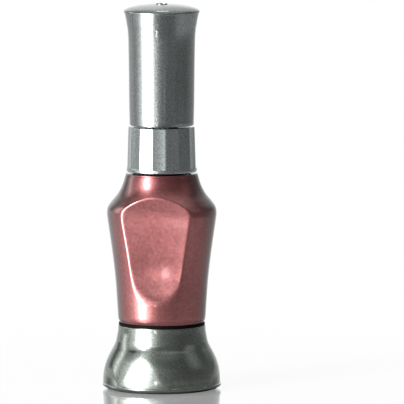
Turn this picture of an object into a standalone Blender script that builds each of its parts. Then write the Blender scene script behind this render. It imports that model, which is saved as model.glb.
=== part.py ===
# Nail art pen: a polish bottle on a bell-shaped base, a screw-in applicator with a
# striping brush below and a needle nozzle above, and a long pull-off cap over the nozzle.
# Metres, +Z up, origin at the centre of the base's underside, label panel facing -Y.

from math import asin, atan2, cos, hypot, pi, radians, sin, tau

import bmesh
import bpy

# Fits between pieces
SEAT_GAP = 0.0003
FINE_GAP = 0.0001
CUT_OVERRUN = 0.002
MERGE_DISTANCE = 0.000001
FILLET_LIMIT_SHARE = 0.45

# Faces round each turned piece
BODY_STEPS = 40
SLEEVE_STEPS = 24
ROD_STEPS = 16
NEEDLE_STEPS = 10
SHARP_ANGLE = radians(18)

# Bottle
BODY_HEIGHT = 0.0422
BODY_RADIUS = 0.01556
BOTTLE_WALL = 0.0016
BOTTLE_FOOT_RADIUS = 0.0100
BOTTLE_FLOOR = 0.0018
SHOULDER_OVERHANG = 0.00025
NECK_RADIUS = 0.00575
NECK_BORE_RADIUS = 0.0035
BOTTLE_FILLET = 0.0004

# Polish and mixing balls
POLISH_LEVEL_SHARE = 0.8601
POLISH_WELL_RADIUS = 0.0026
POLISH_WELL_DEPTH = 0.0010
BALL_RADIUS = 0.0020
BALL_SPACING = 0.0112

# Base
BASE_HEIGHT = 0.0175
BASE_FLARE_RADIUS = 0.0168
BASE_WALL = 0.00105
BASE_LIP_HEIGHT = 0.0005
BASE_CHAMFER_HEIGHT = 0.0006
BASE_CHAMFER_DEPTH = 0.00105
BASE_RIM_LAND = 0.0004
BASE_LEDGE = 0.0008
BASE_PLATE_THICKNESS = 0.0012
BASE_ARCH_COUNT = 7
BASE_ARCH_STEPS = 6
BASE_ARCH_SAG = 0.00035
BASE_ARCH_POWER = 1.7
BASE_ARCH_HEIGHT = 0.0100
BASE_ARCH_PHASE = radians(12.0)
INSERT_WALL = 0.0007
INSERT_FLOOR = 0.0012
INSERT_LIP = 0.0007
INSERT_LIP_INSET = 0.00015

# Collar and its threaded inner cap
COLLAR_HEIGHT = 0.0127
COLLAR_STANDOFF = 0.0005
COLLAR_WALL = 0.00094
COLLAR_TOP_WALL = 0.0010
COLLAR_TAPER = 0.00035
COLLAR_FLANGE_HEIGHT = 0.0010
COLLAR_FLANGE_WIDTH = 0.00016
COLLAR_EDGE = 0.0003
COLLAR_FACETS = 15
COLLAR_FACET_STEPS = 4
COLLAR_PHASE = radians(15.0)
THREAD_DEPTH = 0.0007
THREAD_CLEARANCE = 0.00045
INNER_CAP_WALL = 0.0011
INNER_CAP_CEILING = 0.0009
INNER_CAP_INSET = 0.0005
SPIGOT_WALL = 0.0013
SPIGOT_HEIGHT = 0.0056
NECK_SEAL_THICKNESS = 0.0008

# Nozzle
NOZZLE_BAND_HEIGHT = 0.0010
NOZZLE_BAND_SETBACK = 0.00022
NOZZLE_FLANGE_HEIGHT = 0.00067
NOZZLE_FLANGE_RADIUS = 0.00772
RIB_COUNT = 24
RIB_STEPS = 4
RIB_SETBACK = 0.00012
RIB_TAPER = 0.00025
RIB_DEPTH = 0.0006
RIB_HEIGHT = 0.0043
DOME_HEIGHT = 0.0030
BARREL_RADIUS = 0.00514
BARREL_TAPER = 0.00027
BARREL_EDGE = 0.00015
BARREL_HEIGHT = 0.0109
CONE_HEIGHT = 0.0037
TIP_RADIUS = 0.00193
TIP_TAPER = 0.00013
TIP_HEIGHT = 0.0034
TIP_WELL_WALL = 0.0005
TIP_WELL_DEPTH = 0.0008
CHANNEL_RADIUS = 0.0015
CHANNEL_CONE = 0.0016

# Needle
NEEDLE_BORE_RADIUS = 0.00016
NEEDLE_WALL = 0.00009
NEEDLE_REACH = 0.0043
NEEDLE_EMBED = 0.0062
GLUE_DEPTH = 0.0005

# Stem and striping brush
STEM_RADIUS = 0.00190
STEM_END_RADIUS = 0.00153
STEM_TIP_CHAMFER = 0.0004
STEM_PLUG_RADIUS = 0.0031
STEM_FLUTES = 4
STEM_FLUTE_RADIUS = 0.0008
STEM_SOCKET_RADIUS = 0.00062
STEM_SOCKET_DEPTH = 0.0034
BRUSH_LENGTH = 0.0211
BRUSH_FLOOR_ROOM = 0.0060
BRUSH_ROOT_RADIUS = 0.00042
BRUSH_BELLY_RADIUS = 0.00062
BRUSH_ROOT_DEPTH = 0.0018
BRUSH_BACKING = 0.0005
BRUSH_TIP_ROUND = 0.0012
BRUSH_CELLS = 9
STRAND_SPACING = 0.00003
ANCHOR_HEIGHT = 0.0007
ANCHOR_THICKNESS = 0.0003

# Cap and what it holds
CAP_CLEARANCE = 0.00028
CAP_WALL = 0.0011
CAP_RELIEF = 0.0003
CAP_TOP_THICKNESS = 0.00183
CAP_DOME_RISE = 0.0021
CAP_DOME_STEPS = 7
CAP_GATE_RADIUS = 0.00165
CAP_GATE_WALL = 0.00022
CAP_GATE_HEIGHT = 0.00018
CAP_GATE_DEPTH = 0.0003
CAP_RIM_FLARE = 0.00164
CAP_RIM_EDGE = 0.00025
CAP_KEYS = 8
CAP_KEY_WIDTH = 0.00045
CAP_KEY_SINK = 0.0002
CAP_INSERT_PLATE = 0.0006
CAP_INSERT_WALL = 0.0008
CAP_INSERT_SKIRT = 0.0035
PIN_CLEARANCE = 0.00007
PIN_REACH = 0.0060

# Seats along the axis, worked out from the sizes above
INSERT_Z = BASE_PLATE_THICKNESS + SEAT_GAP
BASE_TOP_Z = SEAT_GAP + BASE_HEIGHT
BASE_LIP_TOP = BASE_CHAMFER_HEIGHT + BASE_LIP_HEIGHT
HEEL_Z = BASE_TOP_Z + SEAT_GAP + INSERT_LIP + SEAT_GAP
BOTTLE_FOOT_Z = INSERT_Z + INSERT_FLOOR + SEAT_GAP
BOTTLE_FOOT_HEIGHT = HEEL_Z - BOTTLE_FOOT_Z
POLISH_LEVEL = BODY_HEIGHT * POLISH_LEVEL_SHARE
SHOULDER_Z = HEEL_Z + BODY_HEIGHT
COLLAR_Z = SHOULDER_Z + COLLAR_STANDOFF
COLLAR_TOP_Z = COLLAR_Z + COLLAR_HEIGHT
CEILING_TOP_Z = COLLAR_TOP_Z - COLLAR_TOP_WALL - SEAT_GAP
CEILING_Z = CEILING_TOP_Z - INNER_CAP_CEILING
NECK_SEAL_Z = CEILING_Z - SEAT_GAP - NECK_SEAL_THICKNESS
NECK_TOP_Z = NECK_SEAL_Z - SEAT_GAP
NOZZLE_Z = COLLAR_TOP_Z + SEAT_GAP
RING_HEIGHT = NOZZLE_BAND_HEIGHT + NOZZLE_FLANGE_HEIGHT
CONE_TOP_Z = NOZZLE_Z + RING_HEIGHT + RIB_HEIGHT + DOME_HEIGHT + BARREL_HEIGHT + CONE_HEIGHT
NOZZLE_TOP_Z = CONE_TOP_Z + TIP_HEIGHT
NEEDLE_TOP_Z = NOZZLE_TOP_Z + NEEDLE_REACH
TIP_SEAL_Z = NOZZLE_TOP_Z + SEAT_GAP
TIP_SEAL_TOP_Z = NEEDLE_TOP_Z + FINE_GAP
CAP_PLATE_Z = TIP_SEAL_TOP_Z + SEAT_GAP
CAP_CEILING_Z = CAP_PLATE_Z + CAP_INSERT_PLATE + SEAT_GAP
CAP_TOP_Z = CAP_CEILING_Z + CAP_TOP_THICKNESS
STEM_END_Z = BOTTLE_FOOT_Z + BOTTLE_FLOOR + BRUSH_FLOOR_ROOM + BRUSH_LENGTH

# Radii that follow from their neighbours
INSERT_RADIUS = BOTTLE_FOOT_RADIUS + SEAT_GAP + INSERT_WALL
BASE_BORE_RADIUS = INSERT_RADIUS + SEAT_GAP
BASE_TOP_RADIUS = BASE_BORE_RADIUS + BASE_WALL
BASE_RIM_RADIUS = BASE_FLARE_RADIUS - BASE_CHAMFER_DEPTH
BASE_SEAT_RADIUS = BASE_RIM_RADIUS - BASE_RIM_LAND
HEEL_RADIUS = BASE_TOP_RADIUS - SEAT_GAP
THREAD_BORE_RADIUS = NECK_RADIUS + THREAD_DEPTH + THREAD_CLEARANCE
INNER_CAP_RADIUS = THREAD_BORE_RADIUS + INNER_CAP_WALL
COLLAR_BORE_RADIUS = INNER_CAP_RADIUS + SEAT_GAP
COLLAR_CORNER_RADIUS = (COLLAR_BORE_RADIUS + COLLAR_WALL) / cos(pi / COLLAR_FACETS)
COLLAR_BASE_RADIUS = COLLAR_CORNER_RADIUS + COLLAR_TAPER
COLLAR_FLANGE_RADIUS = COLLAR_BASE_RADIUS + COLLAR_FLANGE_WIDTH
SHOULDER_RADIUS = COLLAR_FLANGE_RADIUS + SHOULDER_OVERHANG
SPIGOT_BORE_RADIUS = STEM_PLUG_RADIUS + SEAT_GAP
SPIGOT_RADIUS = SPIGOT_BORE_RADIUS + SPIGOT_WALL
SPIGOT_SEAT_RADIUS = SPIGOT_RADIUS + SEAT_GAP
RIB_RADIUS = NOZZLE_FLANGE_RADIUS - RIB_SETBACK
VALLEY_RADIUS = RIB_RADIUS - RIB_DEPTH
NEEDLE_RADIUS = NEEDLE_BORE_RADIUS + NEEDLE_WALL
NEEDLE_SEAT_RADIUS = NEEDLE_RADIUS + FINE_GAP
TIP_WELL_RADIUS = TIP_RADIUS - TIP_TAPER - TIP_WELL_WALL
PIN_RADIUS = NEEDLE_BORE_RADIUS - PIN_CLEARANCE
CAP_BORE_RADIUS = NOZZLE_FLANGE_RADIUS + CAP_CLEARANCE
CAP_MOUTH_RADIUS = CAP_BORE_RADIUS + CAP_WALL
CAP_RIM_RADIUS = CAP_MOUTH_RADIUS + CAP_RIM_FLARE
CAP_UPPER_BORE_RADIUS = CAP_BORE_RADIUS + CAP_RELIEF
CAP_SLEEVE_RADIUS = TIP_RADIUS + SEAT_GAP

# Outline shares: (height share, radius share)
BODY_LOWER_SHARES = (
    (0.679, 0.934), (0.625, 0.840), (0.458, 0.556), (0.294, 0.328), (0.130, 0.185), (0.031, 0.105),
)
BODY_UPPER_SHARES = (
    (0.981, 0.032), (0.941, 0.121), (0.898, 0.261), (0.858, 0.448), (0.817, 0.713), (0.777, 0.933),
)
BODY_WIDEST_SHARE = 0.735
BASE_FLARE_SHARES = (
    (0.927, 0.022), (0.862, 0.056), (0.792, 0.112), (0.726, 0.169), (0.655, 0.281),
    (0.590, 0.416), (0.454, 0.663), (0.319, 0.843), (0.183, 0.944),
)
CAP_FLARE_SHARES = (
    (0.960, 0.750), (0.926, 0.610), (0.889, 0.494), (0.856, 0.372), (0.785, 0.250),
    (0.677, 0.189), (0.219, 0.079),
)
NOZZLE_DOME_SHARES = ((0.810, 0.253), (0.543, 0.557), (0.257, 0.864))
LABEL_FACE_SHARES = (
    (0.923, 0.850), (0.867, 0.806), (0.795, 0.790), (0.751, 0.776), (0.643, 0.765), (0.483, 0.745),
    (0.360, 0.725), (0.274, 0.723), (0.217, 0.738), (0.176, 0.765), (0.147, 0.793), (0.125, 0.825),
    (0.099, 0.870),
)
BRUSH_SHARES = ((0.35, 0.45), (0.85, 1.00), (1.00, 0.70))


def clear_scene():
    for old in list(bpy.data.objects):
        bpy.data.objects.remove(old, do_unlink=True)


def make_collection(name):
    collection = bpy.data.collections.new(name)
    bpy.context.scene.collection.children.link(collection)
    return collection


def make_material(name, colour, roughness, metallic=0.0):
    material = bpy.data.materials.new(name)
    material.use_nodes = True
    shader = material.node_tree.nodes["Principled BSDF"]
    shader.inputs["Base Color"].default_value = (*colour, 1.0)
    shader.inputs["Roughness"].default_value = roughness
    shader.inputs["Metallic"].default_value = metallic
    material.diffuse_color = (*colour, 1.0)
    return material


# Turned shapes: the outline is (radius, height) pairs, down the outer side
def turned(name, outline, steps, height=0.0, ring=False):
    mesh = bpy.data.meshes.new(name)
    points = [(radius, 0.0, level) for radius, level in outline]
    edges = [(index, index + 1) for index in range(len(points) - 1)]
    if ring:
        edges.append((len(points) - 1, 0))
    mesh.from_pydata(points, edges, [])
    piece = bpy.data.objects.new(name, mesh)
    piece.location.z = height
    screw = piece.modifiers.new("Turn", "SCREW")
    screw.axis = "Z"
    screw.steps = steps
    screw.render_steps = steps
    screw.use_merge_vertices = True
    screw.merge_threshold = MERGE_DISTANCE
    return baked(piece)


# Corners are (radius, height, fillet); each fillet becomes a short curve of two spans
def softened(corners):
    outline = []
    last = len(corners) - 1
    for index, (radius, level, fillet) in enumerate(corners):
        if fillet == 0 or index in (0, last):
            outline.append((radius, level))
            continue
        ends = []
        for other in (corners[index - 1], corners[index + 1]):
            run = hypot(other[0] - radius, other[1] - level)
            share = min(fillet / run, FILLET_LIMIT_SHARE)
            ends.append((radius + (other[0] - radius) * share, level + (other[1] - level) * share))
        middle = [(first + 2 * corner + second) / 4
                  for first, corner, second in zip(ends[0], (radius, level), ends[1])]
        outline += [ends[0], tuple(middle), ends[1]]
    return outline


def add_piece(piece, collection, material, parent=None):
    collection.objects.link(piece)
    if parent is not None:
        piece.parent = parent
        piece.location.z -= parent.matrix_world.translation.z
    piece.data.materials.clear()
    piece.data.materials.append(material)
    piece.data.shade_smooth()
    piece.data.set_sharp_from_angle(angle=SHARP_ANGLE)
    return piece


def add_cutter(piece, cutters):
    cutters.objects.link(piece)
    piece.hide_render = True
    piece.display_type = "WIRE"
    return piece


# Turns an object's evaluated shape into an object with a plain mesh, its loose caps welded
def baked(piece):
    workshop = bpy.context.scene.collection
    workshop.objects.link(piece)
    bpy.context.view_layer.update()
    depsgraph = bpy.context.evaluated_depsgraph_get()
    name = piece.name
    placing = piece.matrix_world.copy()
    mesh = bpy.data.meshes.new_from_object(piece.evaluated_get(depsgraph))
    shape = bmesh.new()
    shape.from_mesh(mesh)
    bmesh.ops.remove_doubles(shape, verts=shape.verts, dist=MERGE_DISTANCE)
    shape.to_mesh(mesh)
    shape.free()
    bpy.data.objects.remove(piece)
    plain = bpy.data.objects.new(name, mesh)
    mesh.name = name
    plain.matrix_world = placing
    return plain


# Moves every vertex along its own radius: rule(radius, angle, height) gives the new radius
def reshape(piece, rule):
    for vertex in piece.data.vertices:
        radius = hypot(vertex.co.x, vertex.co.y)
        if radius < MERGE_DISTANCE:
            continue
        scale = rule(radius, atan2(vertex.co.y, vertex.co.x), vertex.co.z) / radius
        vertex.co.x *= scale
        vertex.co.y *= scale


def combine(piece, tool, operation):
    boolean = piece.modifiers.new(operation.capitalize(), "BOOLEAN")
    boolean.operation = operation
    boolean.solver = "EXACT"
    boolean.object = tool


def joined(name, pieces):
    shape = bmesh.new()
    for piece in pieces:
        piece.data.transform(piece.matrix_basis)
        shape.from_mesh(piece.data)
        bpy.data.objects.remove(piece)
    mesh = bpy.data.meshes.new(name)
    shape.to_mesh(mesh)
    shape.free()
    return bpy.data.objects.new(name, mesh)


def block(name, size, centre):
    mesh = bpy.data.meshes.new(name)
    shape = bmesh.new()
    bmesh.ops.create_cube(shape, size=1)
    bmesh.ops.scale(shape, vec=size, verts=shape.verts)
    bmesh.ops.translate(shape, vec=centre, verts=shape.verts)
    shape.to_mesh(mesh)
    shape.free()
    return bpy.data.objects.new(name, mesh)


def axis_empty(name, height, collection, parent=None):
    empty = bpy.data.objects.new(name, None)
    empty.empty_display_type = "SINGLE_ARROW"
    empty.empty_display_size = BODY_RADIUS
    collection.objects.link(empty)
    if parent is not None:
        empty.parent = parent
        height -= parent.matrix_world.translation.z
    empty.location.z = height
    bpy.context.view_layer.update()
    return empty


# Bottle: outer radius of the body at each height above the heel
def body_outline():
    upper = [(SHOULDER_RADIUS + (BODY_RADIUS - SHOULDER_RADIUS) * radius_share, BODY_HEIGHT * height_share)
             for height_share, radius_share in BODY_UPPER_SHARES]
    lower = [(HEEL_RADIUS + (BODY_RADIUS - HEEL_RADIUS) * radius_share, BODY_HEIGHT * height_share)
             for height_share, radius_share in BODY_LOWER_SHARES]
    return upper + [(BODY_RADIUS, BODY_HEIGHT * BODY_WIDEST_SHARE)] + lower


def body_cavity():
    inner = [(radius - BOTTLE_WALL, level) for radius, level in body_outline()
             if BOTTLE_WALL < level < BODY_HEIGHT - 2 * BOTTLE_WALL]
    inner.reverse()
    return inner


# The label face is flat across and scooped in from top to bottom, so that it meets the round
# body in a shield-shaped edge. The cutter is set in by a depth for the cavity and the polish.
def label_cutter(name, depth, cutters):
    curve = bpy.data.curves.new(name, "CURVE")
    curve.dimensions = "2D"
    curve.fill_mode = "BOTH"
    curve.extrude = BODY_RADIUS
    outline = [(depth - BODY_RADIUS * distance_share, BODY_HEIGHT * height_share)
               for height_share, distance_share in LABEL_FACE_SHARES]
    outline.append((-BODY_RADIUS - CUT_OVERRUN, outline[-1][1]))
    outline.append((-BODY_RADIUS - CUT_OVERRUN, outline[0][1]))
    spline = curve.splines.new("POLY")
    spline.points.add(len(outline) - 1)
    for point, (front, level) in zip(spline.points, outline):
        point.co = (front, level, 0.0, 1.0)
    spline.use_cyclic_u = True
    drawing = bpy.data.objects.new(name, curve)
    drawing.rotation_euler = (radians(90), 0.0, radians(90))
    drawing.location.z = HEEL_Z
    return add_cutter(baked(drawing), cutters)


def make_cavity(cutters):
    neck_top = NECK_TOP_Z - HEEL_Z
    foot_bore = BOTTLE_FOOT_RADIUS - BOTTLE_WALL
    cavity_floor = BOTTLE_FLOOR - BOTTLE_FOOT_HEIGHT
    corners = [
        (0.0, neck_top + CUT_OVERRUN, 0.0),
        (NECK_BORE_RADIUS + BOTTLE_FILLET + CUT_OVERRUN, neck_top + CUT_OVERRUN, 0.0),
        (NECK_BORE_RADIUS, neck_top - BOTTLE_FILLET, 0.0),
        (NECK_BORE_RADIUS, BODY_HEIGHT - BOTTLE_WALL / 2, 0.0),
    ]
    corners += [(radius, level, 0.0) for radius, level in reversed(body_cavity())]
    corners += [
        (foot_bore, 0.0, 0.0),
        (foot_bore, cavity_floor, BOTTLE_FILLET),
        (0.0, cavity_floor, 0.0),
    ]
    cavity = add_cutter(turned("bottle_cavity", softened(corners), BODY_STEPS, HEEL_Z), cutters)
    combine(cavity, label_cutter("cavity_label", BOTTLE_WALL, cutters), "DIFFERENCE")
    return cavity


def make_bottle(cutters):
    neck_top = NECK_TOP_Z - HEEL_Z
    corners = [
        (0.0, neck_top, 0.0),
        (NECK_RADIUS, neck_top, BOTTLE_FILLET),
        (NECK_RADIUS, BODY_HEIGHT, 0.0),
        (SHOULDER_RADIUS, BODY_HEIGHT, BOTTLE_FILLET),
    ]
    corners += [(radius, level, 0.0) for radius, level in body_outline()]
    corners += [
        (HEEL_RADIUS, 0.0, BOTTLE_FILLET),
        (BOTTLE_FOOT_RADIUS, 0.0, 0.0),
        (BOTTLE_FOOT_RADIUS, -BOTTLE_FOOT_HEIGHT, BOTTLE_FILLET),
        (0.0, -BOTTLE_FOOT_HEIGHT, 0.0),
    ]
    bottle = turned("bottle", softened(corners), BODY_STEPS, HEEL_Z)
    combine(bottle, make_cavity(cutters), "DIFFERENCE")
    combine(bottle, label_cutter("bottle_label", 0.0, cutters), "DIFFERENCE")
    return bottle


# Polish: fills the cavity up to its level, with a well where the stem and brush hang
def make_polish(cutters):
    bottom = BOTTLE_FLOOR - BOTTLE_FOOT_HEIGHT + SEAT_GAP
    well_floor = STEM_END_Z - BRUSH_LENGTH - POLISH_WELL_DEPTH - HEEL_Z
    foot_radius = BOTTLE_FOOT_RADIUS - BOTTLE_WALL - SEAT_GAP
    wall = [(radius - SEAT_GAP, level) for radius, level in body_cavity() if level < POLISH_LEVEL]
    wall.reverse()
    outline = [
        (0.0, well_floor),
        (POLISH_WELL_RADIUS, well_floor),
        (POLISH_WELL_RADIUS, POLISH_LEVEL),
        (wall[0][0], POLISH_LEVEL),
    ]
    outline += wall
    outline += [(foot_radius, 0.0), (foot_radius, bottom + BOTTLE_FILLET)]
    outline += [(foot_radius - BOTTLE_FILLET, bottom), (0.0, bottom)]
    polish = turned("polish_fill", outline, SLEEVE_STEPS, HEEL_Z)
    pocket_radius = BALL_RADIUS + SEAT_GAP
    pocket_drop = pocket_radius + CUT_OVERRUN
    rounds = [(pocket_radius * sin(turn), pocket_radius * cos(turn))
              for turn in (index * pi / ROD_STEPS for index in range(ROD_STEPS // 2 + 1))]
    pockets = []
    for side in (-1, 1):
        outline = rounds + [(pocket_radius, -pocket_drop), (0.0, -pocket_drop)]
        pocket = turned("ball_pocket", outline, ROD_STEPS)
        pocket.location = (side * BALL_SPACING / 2, 0.0, ball_height())
        pockets.append(pocket)
    combine(polish, add_cutter(joined("ball_pockets", pockets), cutters), "DIFFERENCE")
    combine(polish, label_cutter("polish_label", BOTTLE_WALL + SEAT_GAP, cutters), "DIFFERENCE")
    return polish


def ball_height():
    return BOTTLE_FOOT_Z + BOTTLE_FLOOR + SEAT_GAP + BALL_RADIUS


def make_ball(name, side):
    mesh = bpy.data.meshes.new(name)
    shape = bmesh.new()
    bmesh.ops.create_uvsphere(shape, u_segments=ROD_STEPS, v_segments=ROD_STEPS // 2, radius=BALL_RADIUS)
    shape.to_mesh(mesh)
    shape.free()
    ball = bpy.data.objects.new(name, mesh)
    ball.location = (side * BALL_SPACING / 2, 0.0, ball_height())
    return ball


# Base: a bell-shaped shell whose flare carries arch-shaped flats above a round lip
def flare_radius(level):
    shares = [(1.0, 0.0)] + list(BASE_FLARE_SHARES) + [(0.0, 1.0)]
    share = (level - BASE_LIP_TOP) / (BASE_HEIGHT - BASE_LIP_TOP)
    for (upper, upper_flare), (lower, lower_flare) in zip(shares, shares[1:]):
        if share >= lower:
            flare = lower_flare + (upper_flare - lower_flare) * (share - lower) / (upper - lower)
            return BASE_TOP_RADIUS + (BASE_FLARE_RADIUS - BASE_TOP_RADIUS) * flare
    return BASE_FLARE_RADIUS


def make_base_shell():
    seat_top = BASE_PLATE_THICKNESS
    ledge_radius = BASE_SEAT_RADIUS - BASE_LEDGE
    levels = [BASE_LIP_TOP + (BASE_HEIGHT - BASE_LIP_TOP) * height_share
              for height_share, flare in BASE_FLARE_SHARES]
    outline = [(BASE_BORE_RADIUS, BASE_HEIGHT), (BASE_TOP_RADIUS - SEAT_GAP, BASE_HEIGHT)]
    outline += [(BASE_TOP_RADIUS, BASE_HEIGHT - SEAT_GAP)]
    outline += [(flare_radius(level), level) for level in levels]
    outline += [(BASE_FLARE_RADIUS, BASE_LIP_TOP), (BASE_FLARE_RADIUS, BASE_CHAMFER_HEIGHT)]
    outline += [(BASE_RIM_RADIUS, 0.0), (BASE_SEAT_RADIUS, 0.0), (BASE_SEAT_RADIUS, seat_top)]
    outline += [(ledge_radius, seat_top), (ledge_radius, seat_top + BASE_LEDGE)]
    inner = [(max(flare_radius(level) - BASE_WALL - BASE_ARCH_SAG, BASE_BORE_RADIUS), level)
             for level in reversed(levels) if level > seat_top + 2 * BASE_LEDGE]
    outline += inner[::2]
    shell = turned("base_shell", outline, BASE_ARCH_COUNT * BASE_ARCH_STEPS, SEAT_GAP, ring=True)
    pitch = tau / BASE_ARCH_COUNT

    def arch_rule(radius, angle, level):
        outside = radius > flare_radius(level) - BASE_WALL / 2
        rise = (level - BASE_LIP_TOP) / BASE_ARCH_HEIGHT
        if not outside or level < BASE_LIP_TOP + SEAT_GAP or rise > 1:
            return radius
        ridge = radians(-90) + BASE_ARCH_PHASE
        offset = (angle - ridge) % pitch - pitch / 2
        across = 2 * offset / pitch
        return radius - BASE_ARCH_SAG * max(0.0, (1 - rise) ** BASE_ARCH_POWER - across ** 2)

    reshape(shell, arch_rule)
    return shell


def make_base_plate():
    radius = BASE_SEAT_RADIUS - SEAT_GAP
    outline = softened([
        (0.0, BASE_PLATE_THICKNESS, 0.0),
        (radius, BASE_PLATE_THICKNESS, 0.0),
        (radius, 0.0, SEAT_GAP),
        (0.0, 0.0, 0.0),
    ])
    return turned("base_plate", outline, BODY_STEPS)


# Insert: the black cup that grips the bottle's foot, with a lip that shows as a dark seam
def make_base_insert():
    bore = BOTTLE_FOOT_RADIUS + SEAT_GAP
    lip_z = BASE_TOP_Z + SEAT_GAP - INSERT_Z
    lip_radius = BASE_TOP_RADIUS - INSERT_LIP_INSET
    outline = [
        (0.0, INSERT_FLOOR),
        (bore, INSERT_FLOOR),
        (bore, lip_z + INSERT_LIP),
        (lip_radius, lip_z + INSERT_LIP),
        (lip_radius, lip_z),
        (INSERT_RADIUS, lip_z),
        (INSERT_RADIUS, INSERT_WALL),
        (INSERT_RADIUS - INSERT_WALL, 0.0),
        (0.0, 0.0),
    ]
    return turned("base_insert", outline, BODY_STEPS, INSERT_Z)


def make_neck_seal():
    outer = THREAD_BORE_RADIUS - THREAD_CLEARANCE
    inner = NECK_BORE_RADIUS + SEAT_GAP
    outline = [(inner, NECK_SEAL_THICKNESS), (outer, NECK_SEAL_THICKNESS), (outer, 0.0), (inner, 0.0)]
    return turned("neck_seal", outline, SLEEVE_STEPS, NECK_SEAL_Z, ring=True)


# Collar: flat facets between a chamfered top edge and a round flange at the bottom
def make_collar_shell():
    hole = SPIGOT_SEAT_RADIUS
    ceiling = COLLAR_HEIGHT - COLLAR_TOP_WALL
    outline = softened([
        (hole, COLLAR_HEIGHT, 0.0),
        (COLLAR_CORNER_RADIUS - COLLAR_EDGE, COLLAR_HEIGHT, 0.0),
        (COLLAR_CORNER_RADIUS, COLLAR_HEIGHT - COLLAR_EDGE, 0.0),
        (COLLAR_BASE_RADIUS, COLLAR_FLANGE_HEIGHT, 0.0),
        (COLLAR_FLANGE_RADIUS, COLLAR_FLANGE_HEIGHT, 0.0),
        (COLLAR_FLANGE_RADIUS, 0.0, COLLAR_EDGE),
        (COLLAR_BORE_RADIUS, 0.0, 0.0),
        (COLLAR_BORE_RADIUS, ceiling, 0.0),
        (hole, ceiling, 0.0),
    ])
    steps = COLLAR_FACETS * COLLAR_FACET_STEPS
    shell = turned("collar_shell", outline, steps, COLLAR_Z, ring=True)
    half_pitch = pi / COLLAR_FACETS

    def facet_rule(radius, angle, level):
        on_top = radius > COLLAR_CORNER_RADIUS - COLLAR_EDGE - MERGE_DISTANCE
        faceted = on_top and COLLAR_FLANGE_HEIGHT - MERGE_DISTANCE < level
        if not faceted or radius > COLLAR_BASE_RADIUS + MERGE_DISTANCE:
            return radius
        offset = (angle - radians(-90) - COLLAR_PHASE) % (2 * half_pitch) - half_pitch
        return radius * cos(half_pitch) / cos(offset)

    reshape(shell, facet_rule)
    return shell


# Inner cap: the threaded skirt over the bottle's neck, with a spigot that holds the nozzle
def make_inner_cap():
    skirt = CEILING_TOP_Z - COLLAR_Z - INNER_CAP_INSET
    ceiling = skirt - INNER_CAP_CEILING
    outline = [
        (SPIGOT_BORE_RADIUS, skirt + SPIGOT_HEIGHT),
        (SPIGOT_RADIUS, skirt + SPIGOT_HEIGHT),
        (SPIGOT_RADIUS, skirt),
        (INNER_CAP_RADIUS, skirt),
        (INNER_CAP_RADIUS, 0.0),
        (THREAD_BORE_RADIUS, 0.0),
        (THREAD_BORE_RADIUS, ceiling),
        (SPIGOT_BORE_RADIUS, ceiling),
    ]
    return turned("inner_cap", outline, SLEEVE_STEPS, COLLAR_Z + INNER_CAP_INSET, ring=True)


# Nozzle: a ribbed drum on a flange, a domed shoulder, and a slim barrel ending in a cone
def nozzle_drum():
    rib_top = RING_HEIGHT + RIB_HEIGHT
    crown = RIB_RADIUS - RIB_TAPER
    outline = [(0.0, rib_top + DOME_HEIGHT), (BARREL_RADIUS - BARREL_EDGE, rib_top + DOME_HEIGHT)]
    outline += [(BARREL_RADIUS + (crown - BARREL_RADIUS) * radius_share, rib_top + DOME_HEIGHT * height_share)
                for height_share, radius_share in NOZZLE_DOME_SHARES]
    outline += [
        (crown, rib_top),
        (RIB_RADIUS, RING_HEIGHT),
        (NOZZLE_FLANGE_RADIUS, RING_HEIGHT),
        (NOZZLE_FLANGE_RADIUS, NOZZLE_BAND_HEIGHT),
        (NOZZLE_FLANGE_RADIUS - NOZZLE_BAND_SETBACK, NOZZLE_BAND_HEIGHT),
        (NOZZLE_FLANGE_RADIUS - 2 * NOZZLE_BAND_SETBACK, 0.0),
        (0.0, 0.0),
    ]
    drum = turned("nozzle", outline, RIB_COUNT * RIB_STEPS, NOZZLE_Z)
    pitch = tau / RIB_COUNT

    def rib_rule(radius, angle, level):
        in_valley = abs((angle - valley_angle()) % pitch - pitch / 2) > pitch / 4
        if not in_valley or level < RING_HEIGHT - MERGE_DISTANCE or radius > RIB_RADIUS + MERGE_DISTANCE:
            return radius
        return min(radius, VALLEY_RADIUS)

    reshape(drum, rib_rule)
    return drum


# The angle between two columns of the drum
def drum_step():
    return tau / RIB_COUNT / RIB_STEPS


# The middle of one valley between ribs, midway between two columns of the drum
def valley_angle():
    return drum_step() * (RIB_STEPS - 1) / 2


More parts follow.
